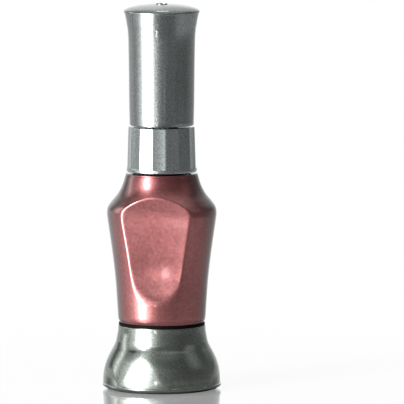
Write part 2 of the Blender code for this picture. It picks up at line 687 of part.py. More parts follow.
def make_nozzle(cutters):
    nozzle = nozzle_drum()
    shoulder = RING_HEIGHT + RIB_HEIGHT + DOME_HEIGHT
    cone = shoulder + BARREL_HEIGHT
    cone_top = cone + CONE_HEIGHT
    tip = cone_top + TIP_HEIGHT
    outline = [
        (0.0, tip - TIP_WELL_DEPTH),
        (TIP_WELL_RADIUS, tip - TIP_WELL_DEPTH),
        (TIP_WELL_RADIUS, tip),
        (TIP_RADIUS - TIP_TAPER, tip),
        (TIP_RADIUS, cone_top),
        (BARREL_RADIUS - BARREL_TAPER - BARREL_EDGE, cone),
        (BARREL_RADIUS - BARREL_TAPER, cone - BARREL_EDGE),
        (BARREL_RADIUS, shoulder - BARREL_EDGE),
        (BARREL_RADIUS, RING_HEIGHT + RIB_HEIGHT / 2),
        (0.0, RING_HEIGHT + RIB_HEIGHT / 2),
    ]
    barrel = add_cutter(turned("nozzle_barrel", outline, SLEEVE_STEPS, NOZZLE_Z), cutters)
    barrel.rotation_euler.z = drum_step() / 2
    combine(nozzle, barrel, "UNION")
    socket = CEILING_TOP_Z + SPIGOT_HEIGHT + SEAT_GAP - NOZZLE_Z
    needle_seat = tip - NEEDLE_EMBED + SEAT_GAP
    bore = [
        (0.0, tip + CUT_OVERRUN),
        (NEEDLE_SEAT_RADIUS, tip + CUT_OVERRUN),
        (NEEDLE_SEAT_RADIUS, needle_seat),
        (CHANNEL_RADIUS, needle_seat - CHANNEL_CONE),
        (CHANNEL_RADIUS, socket),
        (SPIGOT_SEAT_RADIUS, socket),
        (SPIGOT_SEAT_RADIUS, -CUT_OVERRUN),
        (0.0, -CUT_OVERRUN),
    ]
    channel = add_cutter(turned("nozzle_channel", bore, SLEEVE_STEPS, NOZZLE_Z), cutters)
    combine(nozzle, channel, "DIFFERENCE")
    return nozzle


def make_needle():
    length = NEEDLE_EMBED + NEEDLE_REACH
    outline = [
        (NEEDLE_BORE_RADIUS, length),
        (NEEDLE_RADIUS, length),
        (NEEDLE_RADIUS, 0.0),
        (NEEDLE_BORE_RADIUS, 0.0),
    ]
    return turned("needle", outline, NEEDLE_STEPS, NEEDLE_TOP_Z - length, ring=True)


def make_needle_glue():
    outline = [
        (NEEDLE_SEAT_RADIUS, GLUE_DEPTH),
        (TIP_WELL_RADIUS - FINE_GAP, GLUE_DEPTH - FINE_GAP),
        (TIP_WELL_RADIUS - FINE_GAP, 0.0),
        (NEEDLE_SEAT_RADIUS, 0.0),
    ]
    height = NOZZLE_TOP_Z - TIP_WELL_DEPTH + FINE_GAP
    return turned("needle_glue", outline, ROD_STEPS, height, ring=True)


# Stem: a tapered rod, with a fluted plug in the spigot that lets polish up to the needle
def make_stem(cutters):
    plug_bottom = CEILING_Z + SEAT_GAP - STEM_END_Z
    plug_top = CEILING_TOP_Z + SPIGOT_HEIGHT - SEAT_GAP - STEM_END_Z
    outline = softened([
        (0.0, plug_top, 0.0),
        (STEM_PLUG_RADIUS, plug_top, SEAT_GAP),
        (STEM_PLUG_RADIUS, plug_bottom, 0.0),
        (STEM_RADIUS, plug_bottom, 0.0),
        (STEM_RADIUS, COLLAR_Z - STEM_END_Z, 0.0),
        (STEM_END_RADIUS, 0.0, STEM_TIP_CHAMFER),
        (STEM_SOCKET_RADIUS, 0.0, 0.0),
        (STEM_SOCKET_RADIUS, STEM_SOCKET_DEPTH, 0.0),
        (0.0, STEM_SOCKET_DEPTH, 0.0),
    ])
    stem = turned("stem", outline, ROD_STEPS, STEM_END_Z)
    flutes = []
    rod = [
        (0.0, plug_top + CUT_OVERRUN),
        (STEM_FLUTE_RADIUS, plug_top + CUT_OVERRUN),
        (STEM_FLUTE_RADIUS, plug_bottom - CUT_OVERRUN),
        (0.0, plug_bottom - CUT_OVERRUN),
    ]
    for index in range(STEM_FLUTES):
        turn = tau * (index + 0.5) / STEM_FLUTES
        flute = turned("stem_flute", rod, NEEDLE_STEPS, STEM_END_Z)
        flute.location.x = STEM_PLUG_RADIUS * cos(turn)
        flute.location.y = STEM_PLUG_RADIUS * sin(turn)
        flutes.append(flute)
    combine(stem, add_cutter(joined("stem_flutes", flutes), cutters), "DIFFERENCE")
    return stem


def make_brush_anchor():
    width = 2 * (STEM_SOCKET_RADIUS - 2 * FINE_GAP)
    height = STEM_END_Z + STEM_SOCKET_DEPTH - FINE_GAP - ANCHOR_HEIGHT / 2
    anchor = block("brush_anchor", (width, ANCHOR_THICKNESS, ANCHOR_HEIGHT), (0.0, 0.0, 0.0))
    anchor.location.z = height
    return anchor


# Bristles: a round bundle of fine square strands drawn out of one backing slice
def make_bristles():
    shape = bmesh.new()
    bmesh.ops.create_grid(shape, x_segments=BRUSH_CELLS, y_segments=BRUSH_CELLS, size=BRUSH_ROOT_RADIUS)
    outside = [face for face in shape.faces if face.calc_center_median().length > BRUSH_ROOT_RADIUS]
    bmesh.ops.delete(shape, geom=outside, context="FACES")
    cells = list(shape.faces)
    top = bmesh.ops.extrude_face_region(shape, geom=cells, use_keep_orig=True)
    lifted = [item for item in top["geom"] if isinstance(item, bmesh.types.BMVert)]
    bmesh.ops.translate(shape, vec=(0.0, 0.0, BRUSH_BACKING), verts=lifted)
    bmesh.ops.recalc_face_normals(shape, faces=shape.faces)
    bmesh.ops.inset_individual(shape, faces=cells, thickness=STRAND_SPACING / 2)
    roots = [cell.calc_center_median().copy() for cell in cells]
    strands = list(cells)
    for length_share, belly_share in BRUSH_SHARES:
        strands = bmesh.ops.extrude_discrete_faces(shape, faces=strands)["faces"]
        spread = 1 + (BRUSH_BELLY_RADIUS / BRUSH_ROOT_RADIUS - 1) * belly_share
        for strand, root in zip(strands, roots):
            shorter = BRUSH_TIP_ROUND * (root.length / BRUSH_ROOT_RADIUS) ** 2
            goal = root * spread
            goal.z = -(BRUSH_LENGTH + BRUSH_ROOT_DEPTH - shorter) * length_share
            bmesh.ops.translate(shape, vec=goal - strand.calc_center_median(), verts=strand.verts)
    mesh = bpy.data.meshes.new("bristles")
    shape.to_mesh(mesh)
    shape.free()
    bristles = bpy.data.objects.new("bristles", mesh)
    bristles.location.z = STEM_END_Z + BRUSH_ROOT_DEPTH
    return bristles


# Cap: a long tapered shell under a flared rim and a low dome with the moulding gate's ring, keyed
# to the nozzle's ribs
def make_cap_shell(cutters):
    top = CAP_TOP_Z - NOZZLE_Z
    rim = top - CAP_DOME_RISE
    ceiling = CAP_CEILING_Z - NOZZLE_Z
    relief = RING_HEIGHT + RIB_HEIGHT + DOME_HEIGHT
    gate_bore = CAP_GATE_RADIUS - CAP_GATE_WALL
    outline = [
        (0.0, top + CAP_GATE_HEIGHT - CAP_GATE_DEPTH),
        (gate_bore, top + CAP_GATE_HEIGHT - CAP_GATE_DEPTH),
        (gate_bore, top + CAP_GATE_HEIGHT),
        (CAP_GATE_RADIUS, top + CAP_GATE_HEIGHT),
    ]
    gate_turn = asin(CAP_GATE_RADIUS / CAP_RIM_RADIUS)
    for step in range(CAP_DOME_STEPS + 1):
        turn = gate_turn + (pi / 2 - gate_turn) * step / CAP_DOME_STEPS
        outline.append((CAP_RIM_RADIUS * sin(turn), rim + CAP_DOME_RISE * cos(turn)))
    outline.append((CAP_RIM_RADIUS - CAP_RIM_EDGE / 2, rim - CAP_RIM_EDGE))
    outline += [(CAP_MOUTH_RADIUS + CAP_RIM_FLARE * radius_share, rim * height_share)
                for height_share, radius_share in CAP_FLARE_SHARES]
    outline += [
        (CAP_MOUTH_RADIUS, 0.0),
        (CAP_BORE_RADIUS, 0.0),
        (CAP_BORE_RADIUS, relief),
        (CAP_UPPER_BORE_RADIUS, relief + CAP_RELIEF),
        (CAP_UPPER_BORE_RADIUS, ceiling),
        (0.0, ceiling),
    ]
    shell = turned("cap_shell", outline, BODY_STEPS, NOZZLE_Z)
    key_tip = VALLEY_RADIUS + SEAT_GAP
    key_root = CAP_BORE_RADIUS + CAP_KEY_SINK
    size = (key_root - key_tip, CAP_KEY_WIDTH, RIB_HEIGHT - SEAT_GAP)
    centre = ((key_root + key_tip) / 2, 0.0, RING_HEIGHT + SEAT_GAP + size[2] / 2)
    keys = []
    for index in range(CAP_KEYS):
        key = block("cap_key", size, centre)
        key.location.z = NOZZLE_Z
        key.rotation_euler.z = valley_angle() + tau / RIB_COUNT + tau * index / CAP_KEYS
        keys.append(key)
    combine(shell, add_cutter(joined("cap_keys", keys), cutters), "UNION")
    return shell


# Cap insert: a disc and skirt in the cap's top, with a sleeve over the nozzle's tip
def make_cap_insert():
    outer = CAP_UPPER_BORE_RADIUS - SEAT_GAP
    sleeve_depth = CAP_PLATE_Z - CONE_TOP_Z - SEAT_GAP
    outline = [
        (PIN_RADIUS + FINE_GAP, CAP_INSERT_PLATE),
        (outer, CAP_INSERT_PLATE),
        (outer, -CAP_INSERT_SKIRT),
        (outer - CAP_INSERT_WALL, -CAP_INSERT_SKIRT),
        (outer - CAP_INSERT_WALL, 0.0),
        (CAP_SLEEVE_RADIUS + CAP_INSERT_WALL, 0.0),
        (CAP_SLEEVE_RADIUS + CAP_INSERT_WALL, -sleeve_depth),
        (CAP_SLEEVE_RADIUS, -sleeve_depth),
        (CAP_SLEEVE_RADIUS, 0.0),
        (PIN_RADIUS + FINE_GAP, 0.0),
    ]
    return turned("cap_insert", outline, SLEEVE_STEPS, CAP_PLATE_Z, ring=True)


def make_tip_seal():
    outer = CAP_SLEEVE_RADIUS - SEAT_GAP
    height = TIP_SEAL_TOP_Z - TIP_SEAL_Z
    outline = [(NEEDLE_SEAT_RADIUS, height), (outer, height), (outer, 0.0), (NEEDLE_SEAT_RADIUS, 0.0)]
    return turned("tip_seal", outline, ROD_STEPS, TIP_SEAL_Z, ring=True)


# Cleaning pin: a fine wire from the cap that stands in the needle's bore
def make_cleaning_pin():
    bottom = NEEDLE_TOP_Z - PIN_REACH
    length = CAP_PLATE_Z + CAP_INSERT_PLATE - bottom
    outline = [(0.0, length), (PIN_RADIUS, length), (PIN_RADIUS, 0.0), (0.0, 0.0)]
    return turned("cleaning_pin", outline, NEEDLE_STEPS, bottom)


def main():
    clear_scene()
    parts = make_collection("nail_art_pen")
    cutters = make_collection("cutters")
    metal = make_material("silver_metallised", (0.42, 0.44, 0.43), 0.24, metallic=1.0)
    rose = make_material("rose_pearl", (0.50, 0.20, 0.18), 0.22, metallic=0.55)
    polish = make_material("rose_polish", (0.47, 0.17, 0.16), 0.30, metallic=0.4)
    black = make_material("black_plastic", (0.02, 0.02, 0.022), 0.40)
    natural = make_material("natural_plastic", (0.78, 0.78, 0.75), 0.45)
    grey = make_material("grey_satin_plastic", (0.33, 0.34, 0.34), 0.36, metallic=0.7)
    steel = make_material("steel", (0.60, 0.60, 0.60), 0.20, metallic=1.0)
    smoke = make_material("smoked_plastic", (0.28, 0.15, 0.13), 0.18)
    soft = make_material("soft_seal", (0.88, 0.88, 0.86), 0.60)
    nylon = make_material("dark_nylon", (0.16, 0.15, 0.15), 0.50)
    glue = make_material("clear_glue", (0.70, 0.66, 0.58), 0.15)

    add_piece(make_bottle(cutters), parts, rose)
    add_piece(make_polish(cutters), parts, polish)
    add_piece(make_ball("mixing_ball_left", -1), parts, steel)
    add_piece(make_ball("mixing_ball_right", 1), parts, steel)
    add_piece(make_base_insert(), parts, black)
    add_piece(make_base_shell(), parts, metal)
    add_piece(make_base_plate(), parts, black)

    lift = axis_empty("applicator_lift_axis", NECK_SEAL_Z, parts)
    add_piece(make_neck_seal(), parts, soft, lift)

    unscrew = axis_empty("collar_unscrew_axis", COLLAR_Z, parts, lift)
    add_piece(make_collar_shell(), parts, metal, unscrew)
    add_piece(make_inner_cap(), parts, natural, unscrew)
    add_piece(make_nozzle(cutters), parts, grey, unscrew)
    add_piece(make_needle(), parts, steel, unscrew)
    add_piece(make_needle_glue(), parts, glue, unscrew)
    add_piece(make_stem(cutters), parts, smoke, unscrew)
    add_piece(make_brush_anchor(), parts, steel, unscrew)
    add_piece(make_bristles(), parts, nylon, unscrew)

    pull = axis_empty("cap_pull_axis", NOZZLE_Z, parts, unscrew)
    add_piece(make_cap_shell(cutters), parts, metal, pull)
    add_piece(make_cap_insert(), parts, natural, pull)
    add_piece(make_tip_seal(), parts, soft, pull)
    add_piece(make_cleaning_pin(), parts, steel, pull)


main()
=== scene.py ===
import math
import random

import bpy
import numpy as np
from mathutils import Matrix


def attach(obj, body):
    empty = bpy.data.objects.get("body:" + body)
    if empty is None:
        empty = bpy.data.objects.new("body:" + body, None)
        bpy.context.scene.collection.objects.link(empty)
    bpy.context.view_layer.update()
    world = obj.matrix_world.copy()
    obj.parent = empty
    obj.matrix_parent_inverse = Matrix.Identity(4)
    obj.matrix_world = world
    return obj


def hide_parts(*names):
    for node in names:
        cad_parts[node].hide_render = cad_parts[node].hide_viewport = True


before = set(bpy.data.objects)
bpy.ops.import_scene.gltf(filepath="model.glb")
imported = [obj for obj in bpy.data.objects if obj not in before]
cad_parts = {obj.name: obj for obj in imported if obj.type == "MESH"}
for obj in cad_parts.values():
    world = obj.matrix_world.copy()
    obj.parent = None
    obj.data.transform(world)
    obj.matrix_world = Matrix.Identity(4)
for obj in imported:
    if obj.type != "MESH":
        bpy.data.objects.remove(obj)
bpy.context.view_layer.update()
print("frame loaded:", len(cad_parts), "nodes")

mm = 0.001
viewAngle = 7.5  # degrees from the label's own direction round to the camera
noiseRange = (0.3, 0.7)  # most values of a noise lie between these


# Small helpers for modelling by operators

def clearSelection():
    if bpy.context.object and bpy.context.object.mode != "OBJECT":
        bpy.ops.object.mode_set(mode="OBJECT")
    bpy.ops.object.select_all(action="DESELECT")


def choose(piece):  # alone selected, and active
    clearSelection()
    piece.select_set(True)
    bpy.context.view_layer.objects.active = piece


def named(name):  # gives the piece just added its name
    piece = bpy.context.object
    piece.name = name
    piece.data.name = name
    return piece


def editAll():
    bpy.ops.object.mode_set(mode="EDIT")
    bpy.ops.mesh.select_all(action="SELECT")


def settle(piece, angle=30):  # puts the place into the mesh and smooths the shading
    choose(piece)
    bpy.ops.object.transform_apply(location=True, rotation=True, scale=True)
    bpy.ops.object.shade_smooth_by_angle(angle=math.radians(angle))
    return piece


def applied(piece, kind, **values):  # adds a modifier and applies it
    choose(piece)
    modifier = piece.modifiers.new(kind.title(), kind)
    for key, value in values.items():
        setattr(modifier, key, value)
    bpy.ops.object.modifier_apply(modifier=modifier.name)


def joinAll(pieces):
    clearSelection()
    for piece in pieces:
        piece.select_set(True)
    bpy.context.view_layer.objects.active = pieces[0]
    bpy.ops.object.join()
    return pieces[0]


def bar(name, place, size):  # a block, its centre and sides in millimetres
    clearSelection()
    bpy.ops.mesh.primitive_cube_add(size=mm, location=[part * mm for part in place], scale=size)
    piece = named(name)
    choose(piece)
    bpy.ops.object.transform_apply(location=True, rotation=True, scale=True)
    return piece


def copiesRound(piece, count, turn):  # the piece and its copies stand evenly round the axis, the first at turn
    choose(piece)
    editAll()
    bpy.ops.mesh.spin(steps=count - 1, angle=math.tau * (count - 1) / count, dupli=True,
                      center=(0, 0, 0), axis=(0, 0, 1))
    bpy.ops.object.mode_set(mode="OBJECT")
    piece.rotation_euler.z = math.radians(turn)
    return settle(piece)


# A smooth run through points (radius, height), a few steps to each span
def flow(points, steps):
    run = np.array([points[0], *points, points[-1]], float)
    smooth = []
    for a, b, c, d in zip(run, run[1:], run[2:], run[3:]):
        for step in range(steps):
            t = step / steps
            smooth.append(tuple(0.5 * (2 * b + (c - a) * t + (2 * a - 5 * b + 4 * c - d) * t * t
                                       + (3 * b - a - 3 * c + d) * t ** 3)))
    smooth.append(tuple(run[-1]))
    return smooth


# Rounds the corner at b between a and c with a few points
def rounded(a, b, c, size, steps):
    ends = []
    for other in (a, c):
        run = math.hypot(other[0] - b[0], other[1] - b[1])
        share = min(size / run, 0.49)
        ends.append((b[0] + (other[0] - b[0]) * share, b[1] + (other[1] - b[1]) * share))
    points = []
    for step in range(steps + 1):
        t = step / steps
        points.append(tuple((1 - t) ** 2 * p + 2 * t * (1 - t) * q + t * t * r
                            for p, q, r in zip(ends[0], b, ends[1])))
    return points


def roundedLine(corners, steps):  # corners are (radius, height, rounding) in millimetres
    line = [corners[0][:2]]
    for before, corner, after in zip(corners, corners[1:], corners[2:]):
        if corner[2]:
            line += rounded(before[:2], corner[:2], after[:2], corner[2], steps)
        else:
            line.append(corner[:2])
    line.append(corners[-1][:2])
    return line


def byHeight(line):  # the heights and radii of a line that runs down, lowest first, to read between its points
    run = np.array(line, float)[::-1]
    return run[:, 1], run[:, 0]


# Draws a line of (radius, height) point by point from one vertex, then spins it round the axis
def turned(name, line, steps, closed=False):
    clearSelection()
    bpy.ops.mesh.primitive_plane_add(size=mm, location=(0, 0, 0))
    piece = named(name)
    editAll()
    bpy.ops.mesh.merge(type="CENTER")
    bpy.ops.transform.translate(value=(line[0][0] * mm, 0, line[0][1] * mm))
    if closed:
        line = [*line, line[0]]
    for (radius, height), (nextRadius, nextHeight) in zip(line, line[1:]):
        step = ((nextRadius - radius) * mm, 0, (nextHeight - height) * mm)
        bpy.ops.mesh.extrude_vertices_move(TRANSFORM_OT_translate={"value": step})
    bpy.ops.mesh.select_all(action="SELECT")
    bpy.ops.mesh.spin(steps=steps, angle=math.tau, center=(0, 0, 0), axis=(0, 0, 1))
    bpy.ops.mesh.select_all(action="SELECT")
    bpy.ops.mesh.remove_doubles(threshold=0.002 * mm)
    bpy.ops.mesh.normals_make_consistent(inside=False)
    bpy.ops.object.mode_set(mode="OBJECT")
    return settle(piece)


# Pushes points in or out along their own radius: rule(radius, degrees, height) in millimetres
def press(piece, rule):
    for vertex in piece.data.vertices:
        radius = math.hypot(vertex.co.x, vertex.co.y) / mm
        if radius > 0.001:
            turn = math.degrees(math.atan2(vertex.co.y, vertex.co.x))
            scale = rule(radius, turn, vertex.co.z / mm) / radius
            vertex.co.x *= scale
            vertex.co.y *= scale
    piece.data.update()


# Small helpers for finishes

def feed(node, inputs):  # gives inputs, by name or place, their value or the output of another node
    for name, value in inputs.items():
        if isinstance(value, bpy.types.NodeSocket):
            node.id_data.links.new(value, node.inputs[name])
        else:
            node.inputs[name].default_value = value
    return node


def newNode(tree, kind, inputs=None, **choices):
    node = tree.nodes.new("ShaderNode" + kind)
    for key, value in choices.items():
        setattr(node, key, value)
    return feed(node, inputs or {})


def newFinish(name, colour, roughness, metallic=0.0, coat=0.0, coatRoughness=0.03):
    material = bpy.data.materials.new(name)
    material.use_nodes = True
    shader = feed(material.node_tree.nodes["Principled BSDF"], {
        "Base Color": (*colour, 1), "Roughness": roughness, "Metallic": metallic,
        "Coat Weight": coat, "Coat Roughness": coatRoughness})
    return material, material.node_tree, shader


def objectPlace(tree, scale=(1, 1, 1)):
    place = newNode(tree, "TexCoord").outputs["Object"]
    return newNode(tree, "Mapping", {"Vector": place, "Scale": scale}).outputs["Vector"]


def noise(tree, place, scale, detail, roughness=0.5):
    return newNode(tree, "TexNoise", {
        "Vector": place, "Scale": scale, "Detail": detail, "Roughness": roughness}).outputs["Fac"]


def ramp(tree, value, stops):
    node = newNode(tree, "ValToRGB", {"Fac": value})
    elements = node.color_ramp.elements
    for element, (position, colour) in zip(elements, (stops[0], stops[-1])):
        element.position = position
        element.color = (*colour, 1)
    for position, colour in stops[1:-1]:
        elements.new(position).color = (*colour, 1)
    return node.outputs["Color"]


def twoTone(tree, value, dark, light, stops=noiseRange):
    return ramp(tree, value, ((stops[0], dark), (stops[1], light)))


def spread(tree, value, low, high, start, end):  # start to end becomes low to high
    return newNode(tree, "MapRange", {
        "Value": value, "From Min": start, "From Max": end, "To Min": low, "To Max": high}).outputs["Result"]


def calculate(tree, operation, *values):
    return newNode(tree, "Math", dict(enumerate(values)), operation=operation).outputs["Value"]


def blended(tree, share, first, second, kind="MIX"):  # two colours
    first, second = ((*value, 1) if isinstance(value, tuple) else value for value in (first, second))
    return newNode(tree, "Mix", {"Factor": share, "A": first, "B": second},
                   data_type="RGBA", blend_type=kind).outputs["Result"]


def mixed(tree, share, first, second):  # two shaders
    return newNode(tree, "MixShader", {"Fac": share, 1: first, 2: second}).outputs["Shader"]


def bump(tree, shader, height, distance):
    normal = newNode(tree, "Bump", {"Height": height, "Distance": distance}).outputs["Normal"]
    feed(shader, {"Normal": normal})


# Finishes

silverSettings = {
    "light": (0.64, 0.665, 0.655),
    "dark": (0.42, 0.44, 0.43),
    "toneStops": (0.35, 0.62),
    "roughness": (0.11, 0.20),
    "grainScale": 2500.0,  # a grain of about 0.4 mm
    "grainDepth": 0.011 * mm,
    "streakScale": 900.0,
    "streakSquash": (1, 1, 0.06),  # draws the streaks out along the pen
}


def silverFinish(name, settings, tint, rougher=0.0):
    light, dark = ([value * part for value, part in zip(settings[key], tint)] for key in ("light", "dark"))
    low, high = (value + rougher for value in settings["roughness"])
    material, tree, shader = newFinish(name, light, settings["roughness"][0], metallic=1.0)
    grain = noise(tree, objectPlace(tree), settings["grainScale"], 3.0, 0.6)
    streaks = noise(tree, objectPlace(tree, settings["streakSquash"]), settings["streakScale"], 3.0, 0.6)
    feed(shader, {"Base Color": twoTone(tree, grain, dark, light, settings["toneStops"]),
                  "Roughness": spread(tree, streaks, low, high, *noiseRange)})
    bump(tree, shader, grain, settings["grainDepth"])
    return material


roseSettings = {
    "light": (0.76, 0.28, 0.275),
    "dark": (0.47, 0.150, 0.148),
    "deep": (0.42, 0.130, 0.128),
    "toneStops": (0.36, 0.62),
    "neck": (0.60, 0.46, 0.48),  # painted shade: deeper under the collar, where also no polish stands behind the wall
    "neckRange": (54.5 * mm, 60.0 * mm),
    "edge": (0.25, 0.20, 0.198),  # painted reflection: towards the outline the colour greys, as a grazing reflection would
    "sheenRange": (0.38, 0.74),
    "sheenShoulderLift": 0.14,  # on the shoulder the painted reflection starts sooner
    "sheenLiftRange": (46.0 * mm, 53.0 * mm),
    "pearlScale": 3000.0,
    "pearlShare": 0.4,
    "speckScale": 1300.0,
    "speckShare": 0.35,
    "cloudScale": 150.0,
    "cloudShare": 0.25,
    "cloudSquash": (1, 1, 0.35),
    "pearlDepth": 0.010 * mm,
    "roughness": 0.22,
    "metallic": 0.86,
    "coatRoughness": 0.07,
    "coatIndex": 1.52,
}


def roseFinish(name, settings, coat):
    material, tree, shader = newFinish(
        name, settings["light"], settings["roughness"], settings["metallic"], coat, settings["coatRoughness"])
    place = objectPlace(tree)
    pearl = noise(tree, place, settings["pearlScale"], 2.0, 0.7)
    specks = noise(tree, place, settings["speckScale"], 1.0)
    clouds = noise(tree, objectPlace(tree, settings["cloudSquash"]), settings["cloudScale"], 3.0, 0.55)
    colour = (0.0, 0.0, 0.0)
    for value, share, darkest in ((pearl, "pearlShare", "dark"), (specks, "speckShare", "dark"),
                                  (clouds, "cloudShare", "deep")):
        tone = twoTone(tree, value, settings[darkest], settings["light"], settings["toneStops"])
        colour = blended(tree, settings[share], colour, tone, "ADD")
    height = newNode(tree, "SeparateXYZ", {"Vector": place}).outputs["Z"]
    # painted shade: the colour darkens towards the neck, under the collar
    neckShare = spread(tree, height, 0, 1, *settings["neckRange"])
    colour = blended(tree, neckShare, colour, settings["neck"], "MULTIPLY")
    # painted reflection: the colour greys towards the outline, sooner up the shoulder
    facing = newNode(tree, "LayerWeight", {"Blend": 0.5}).outputs["Facing"]
    sheenLift = spread(tree, height, 0, settings["sheenShoulderLift"], *settings["sheenLiftRange"])
    sheenShare = spread(tree, calculate(tree, "ADD", facing, sheenLift), 0, 1, *settings["sheenRange"])
    feed(shader, {"Base Color": blended(tree, sheenShare, colour, settings["edge"]),
                  "Coat IOR": settings["coatIndex"]})
    bump(tree, shader, pearl, settings["pearlDepth"])
    return material


def mouldedFinish(name, dark, light, roughness, scale, depth, subsurface=0.0):
    material, tree, shader = newFinish(name, light, roughness[0])
    grain = noise(tree, objectPlace(tree), scale, 3.0, 0.6)
    feed(shader, {"Base Color": twoTone(tree, grain, dark, light),
                  "Roughness": spread(tree, grain, *roughness, *noiseRange),
                  "Subsurface Weight": subsurface, "Subsurface Scale": 1.0 * mm})
    bump(tree, shader, grain, depth)
    return material


steelSettings = {
    "grainScale": 9000.0,
    "grainDepth": 0.002 * mm,
    "darker": 0.72,
}


def drawnSteel(name, colour, roughness, squash, settings):
    material, tree, shader = newFinish(name, colour, roughness[0], metallic=1.0)
    drawn = noise(tree, objectPlace(tree, squash), settings["grainScale"], 3.0, 0.6)
    dark = [part * settings["darker"] for part in colour]
    feed(shader, {"Base Color": twoTone(tree, drawn, dark, colour),
                  "Roughness": spread(tree, drawn, *roughness, *noiseRange)})
    bump(tree, shader, drawn, settings["grainDepth"])
    return material


capSilver = silverFinish("capSilver", silverSettings, (0.97, 1.0, 1.01))
# the collar's copy is a touch bluer, and much brighter as painted light for what its facets reflect
collarSilverBrightened = silverFinish("collarSilverBrightened", silverSettings, (1.30, 1.36, 1.38), 0.02)
baseSilver = silverFinish("baseSilver", silverSettings, (0.93, 0.98, 0.92), -0.03)
nozzleGrey = silverFinish("nozzleGrey", silverSettings, (0.80, 0.80, 0.80), 0.12)
roseBottle = roseFinish("roseBottle", roseSettings, 1.0)
rosePolish = roseFinish("rosePolish", {**roseSettings, "roughness": 0.28}, 0.6)
# the black cup's lip shows as the seam above the base; its near-black with little reflection is painted shade in
# that gap
seamShadeBlack = mouldedFinish(
    "seamShadeBlack", (0.002, 0.002, 0.002), (0.006, 0.005, 0.006), (0.5, 0.65), 2500.0, 0.006 * mm)
feed(seamShadeBlack.node_tree.nodes["Principled BSDF"], {"Specular IOR Level": 0.12})
plateBlack = mouldedFinish(
    "plateBlack", (0.010, 0.010, 0.011), (0.024, 0.024, 0.025), (0.45, 0.62), 3000.0, 0.012 * mm)
naturalPlastic = mouldedFinish(
    "naturalPlastic", (0.66, 0.66, 0.62), (0.76, 0.76, 0.73), (0.35, 0.5), 900.0, 0.006 * mm, 0.15)
softSeal = mouldedFinish(
    "softSeal", (0.74, 0.74, 0.71), (0.84, 0.84, 0.81), (0.5, 0.65), 1800.0, 0.010 * mm, 0.1)
clearGlue = mouldedFinish(
    "clearGlue", (0.55, 0.50, 0.42), (0.68, 0.64, 0.56), (0.08, 0.2), 1500.0, 0.010 * mm)
stemPlastic = mouldedFinish(
    "stemPlastic", (0.13, 0.075, 0.065), (0.21, 0.125, 0.11), (0.10, 0.2), 700.0, 0.004 * mm)
needleSteel = drawnSteel("needleSteel", (0.52, 0.53, 0.54), (0.14, 0.30), (1, 1, 0.04), steelSettings)
ballSteel = drawnSteel("ballSteel", (0.60, 0.60, 0.60), (0.10, 0.22), (1, 1, 1), steelSettings)
print("materials ready")


def finishOf(piece, material):
    piece.data.materials.clear()
    piece.data.materials.append(material)


for node, material in (
        ("polish_fill", rosePolish), ("mixing_ball_left", ballSteel), ("mixing_ball_right", ballSteel),
        ("base_plate", plateBlack), ("neck_seal", softSeal), ("inner_cap", naturalPlastic),
        ("needle", needleSteel), ("needle_glue", clearGlue), ("brush_anchor", ballSteel),
        ("cap_insert", naturalPlastic), ("tip_seal", softSeal), ("cleaning_pin", needleSteel)):
    finishOf(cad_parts[node], material)


def stand(piece, body, slot, material, *nodes):  # puts a finished piece on its body in place of its nodes
    finishOf(piece, material)
    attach(piece, body)
    if nodes:
        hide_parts(*nodes)


# Cap: long tapered shell, flared rim, full low dome with the ring left by the mould's gate

capSettings = {
    "steps": 200,
    "side": [(9.11, 76.2), (9.23, 81.87), (9.31, 90.0), (9.41, 96.67), (9.51, 100.16), (9.71, 102.44),
             (9.91, 103.51), (10.10, 104.72), (10.33, 105.80), (10.60, 106.80)],
    "rimRadius": 10.74,
    "rimHeight": 107.10,
    "rimRounding": 0.16,
    "domeRise": 2.10,
    "domeStart": 87.0,  # degrees from the axis, just above the rim
    "domePoints": 34,
    "gateRadius": 1.65,
    "gateWall": 0.22,
    "gateFoot": 0.988,  # of the dome's rise, where the ring stands on it
    "gateTop": 109.38,
    "gateFloor": 109.08,
    "bore": 8.0,
    "upperBore": 8.3,
    "reliefHeight": 83.77,
    "reliefSlope": 0.3,
    "ceiling": 107.37,
    "mouth": 74.95,
    "mouthRounding": 0.35,
    "seamTurn": -75.6,  # where the mould closed: a fine line up the side
    "seamHalf": 0.9,
    "seamHeight": 0.07,
    "seamFade": ([76, 77, 89, 93], [0, 1, 1, 0]),
    "keys": 8,
    "keyTurn": 20.625,
    "keyPlace": (7.78, 0, 78.77),
    "keySize": (0.92, 0.45, 4.0),
    "keyRounding": 0.08 * mm,
}


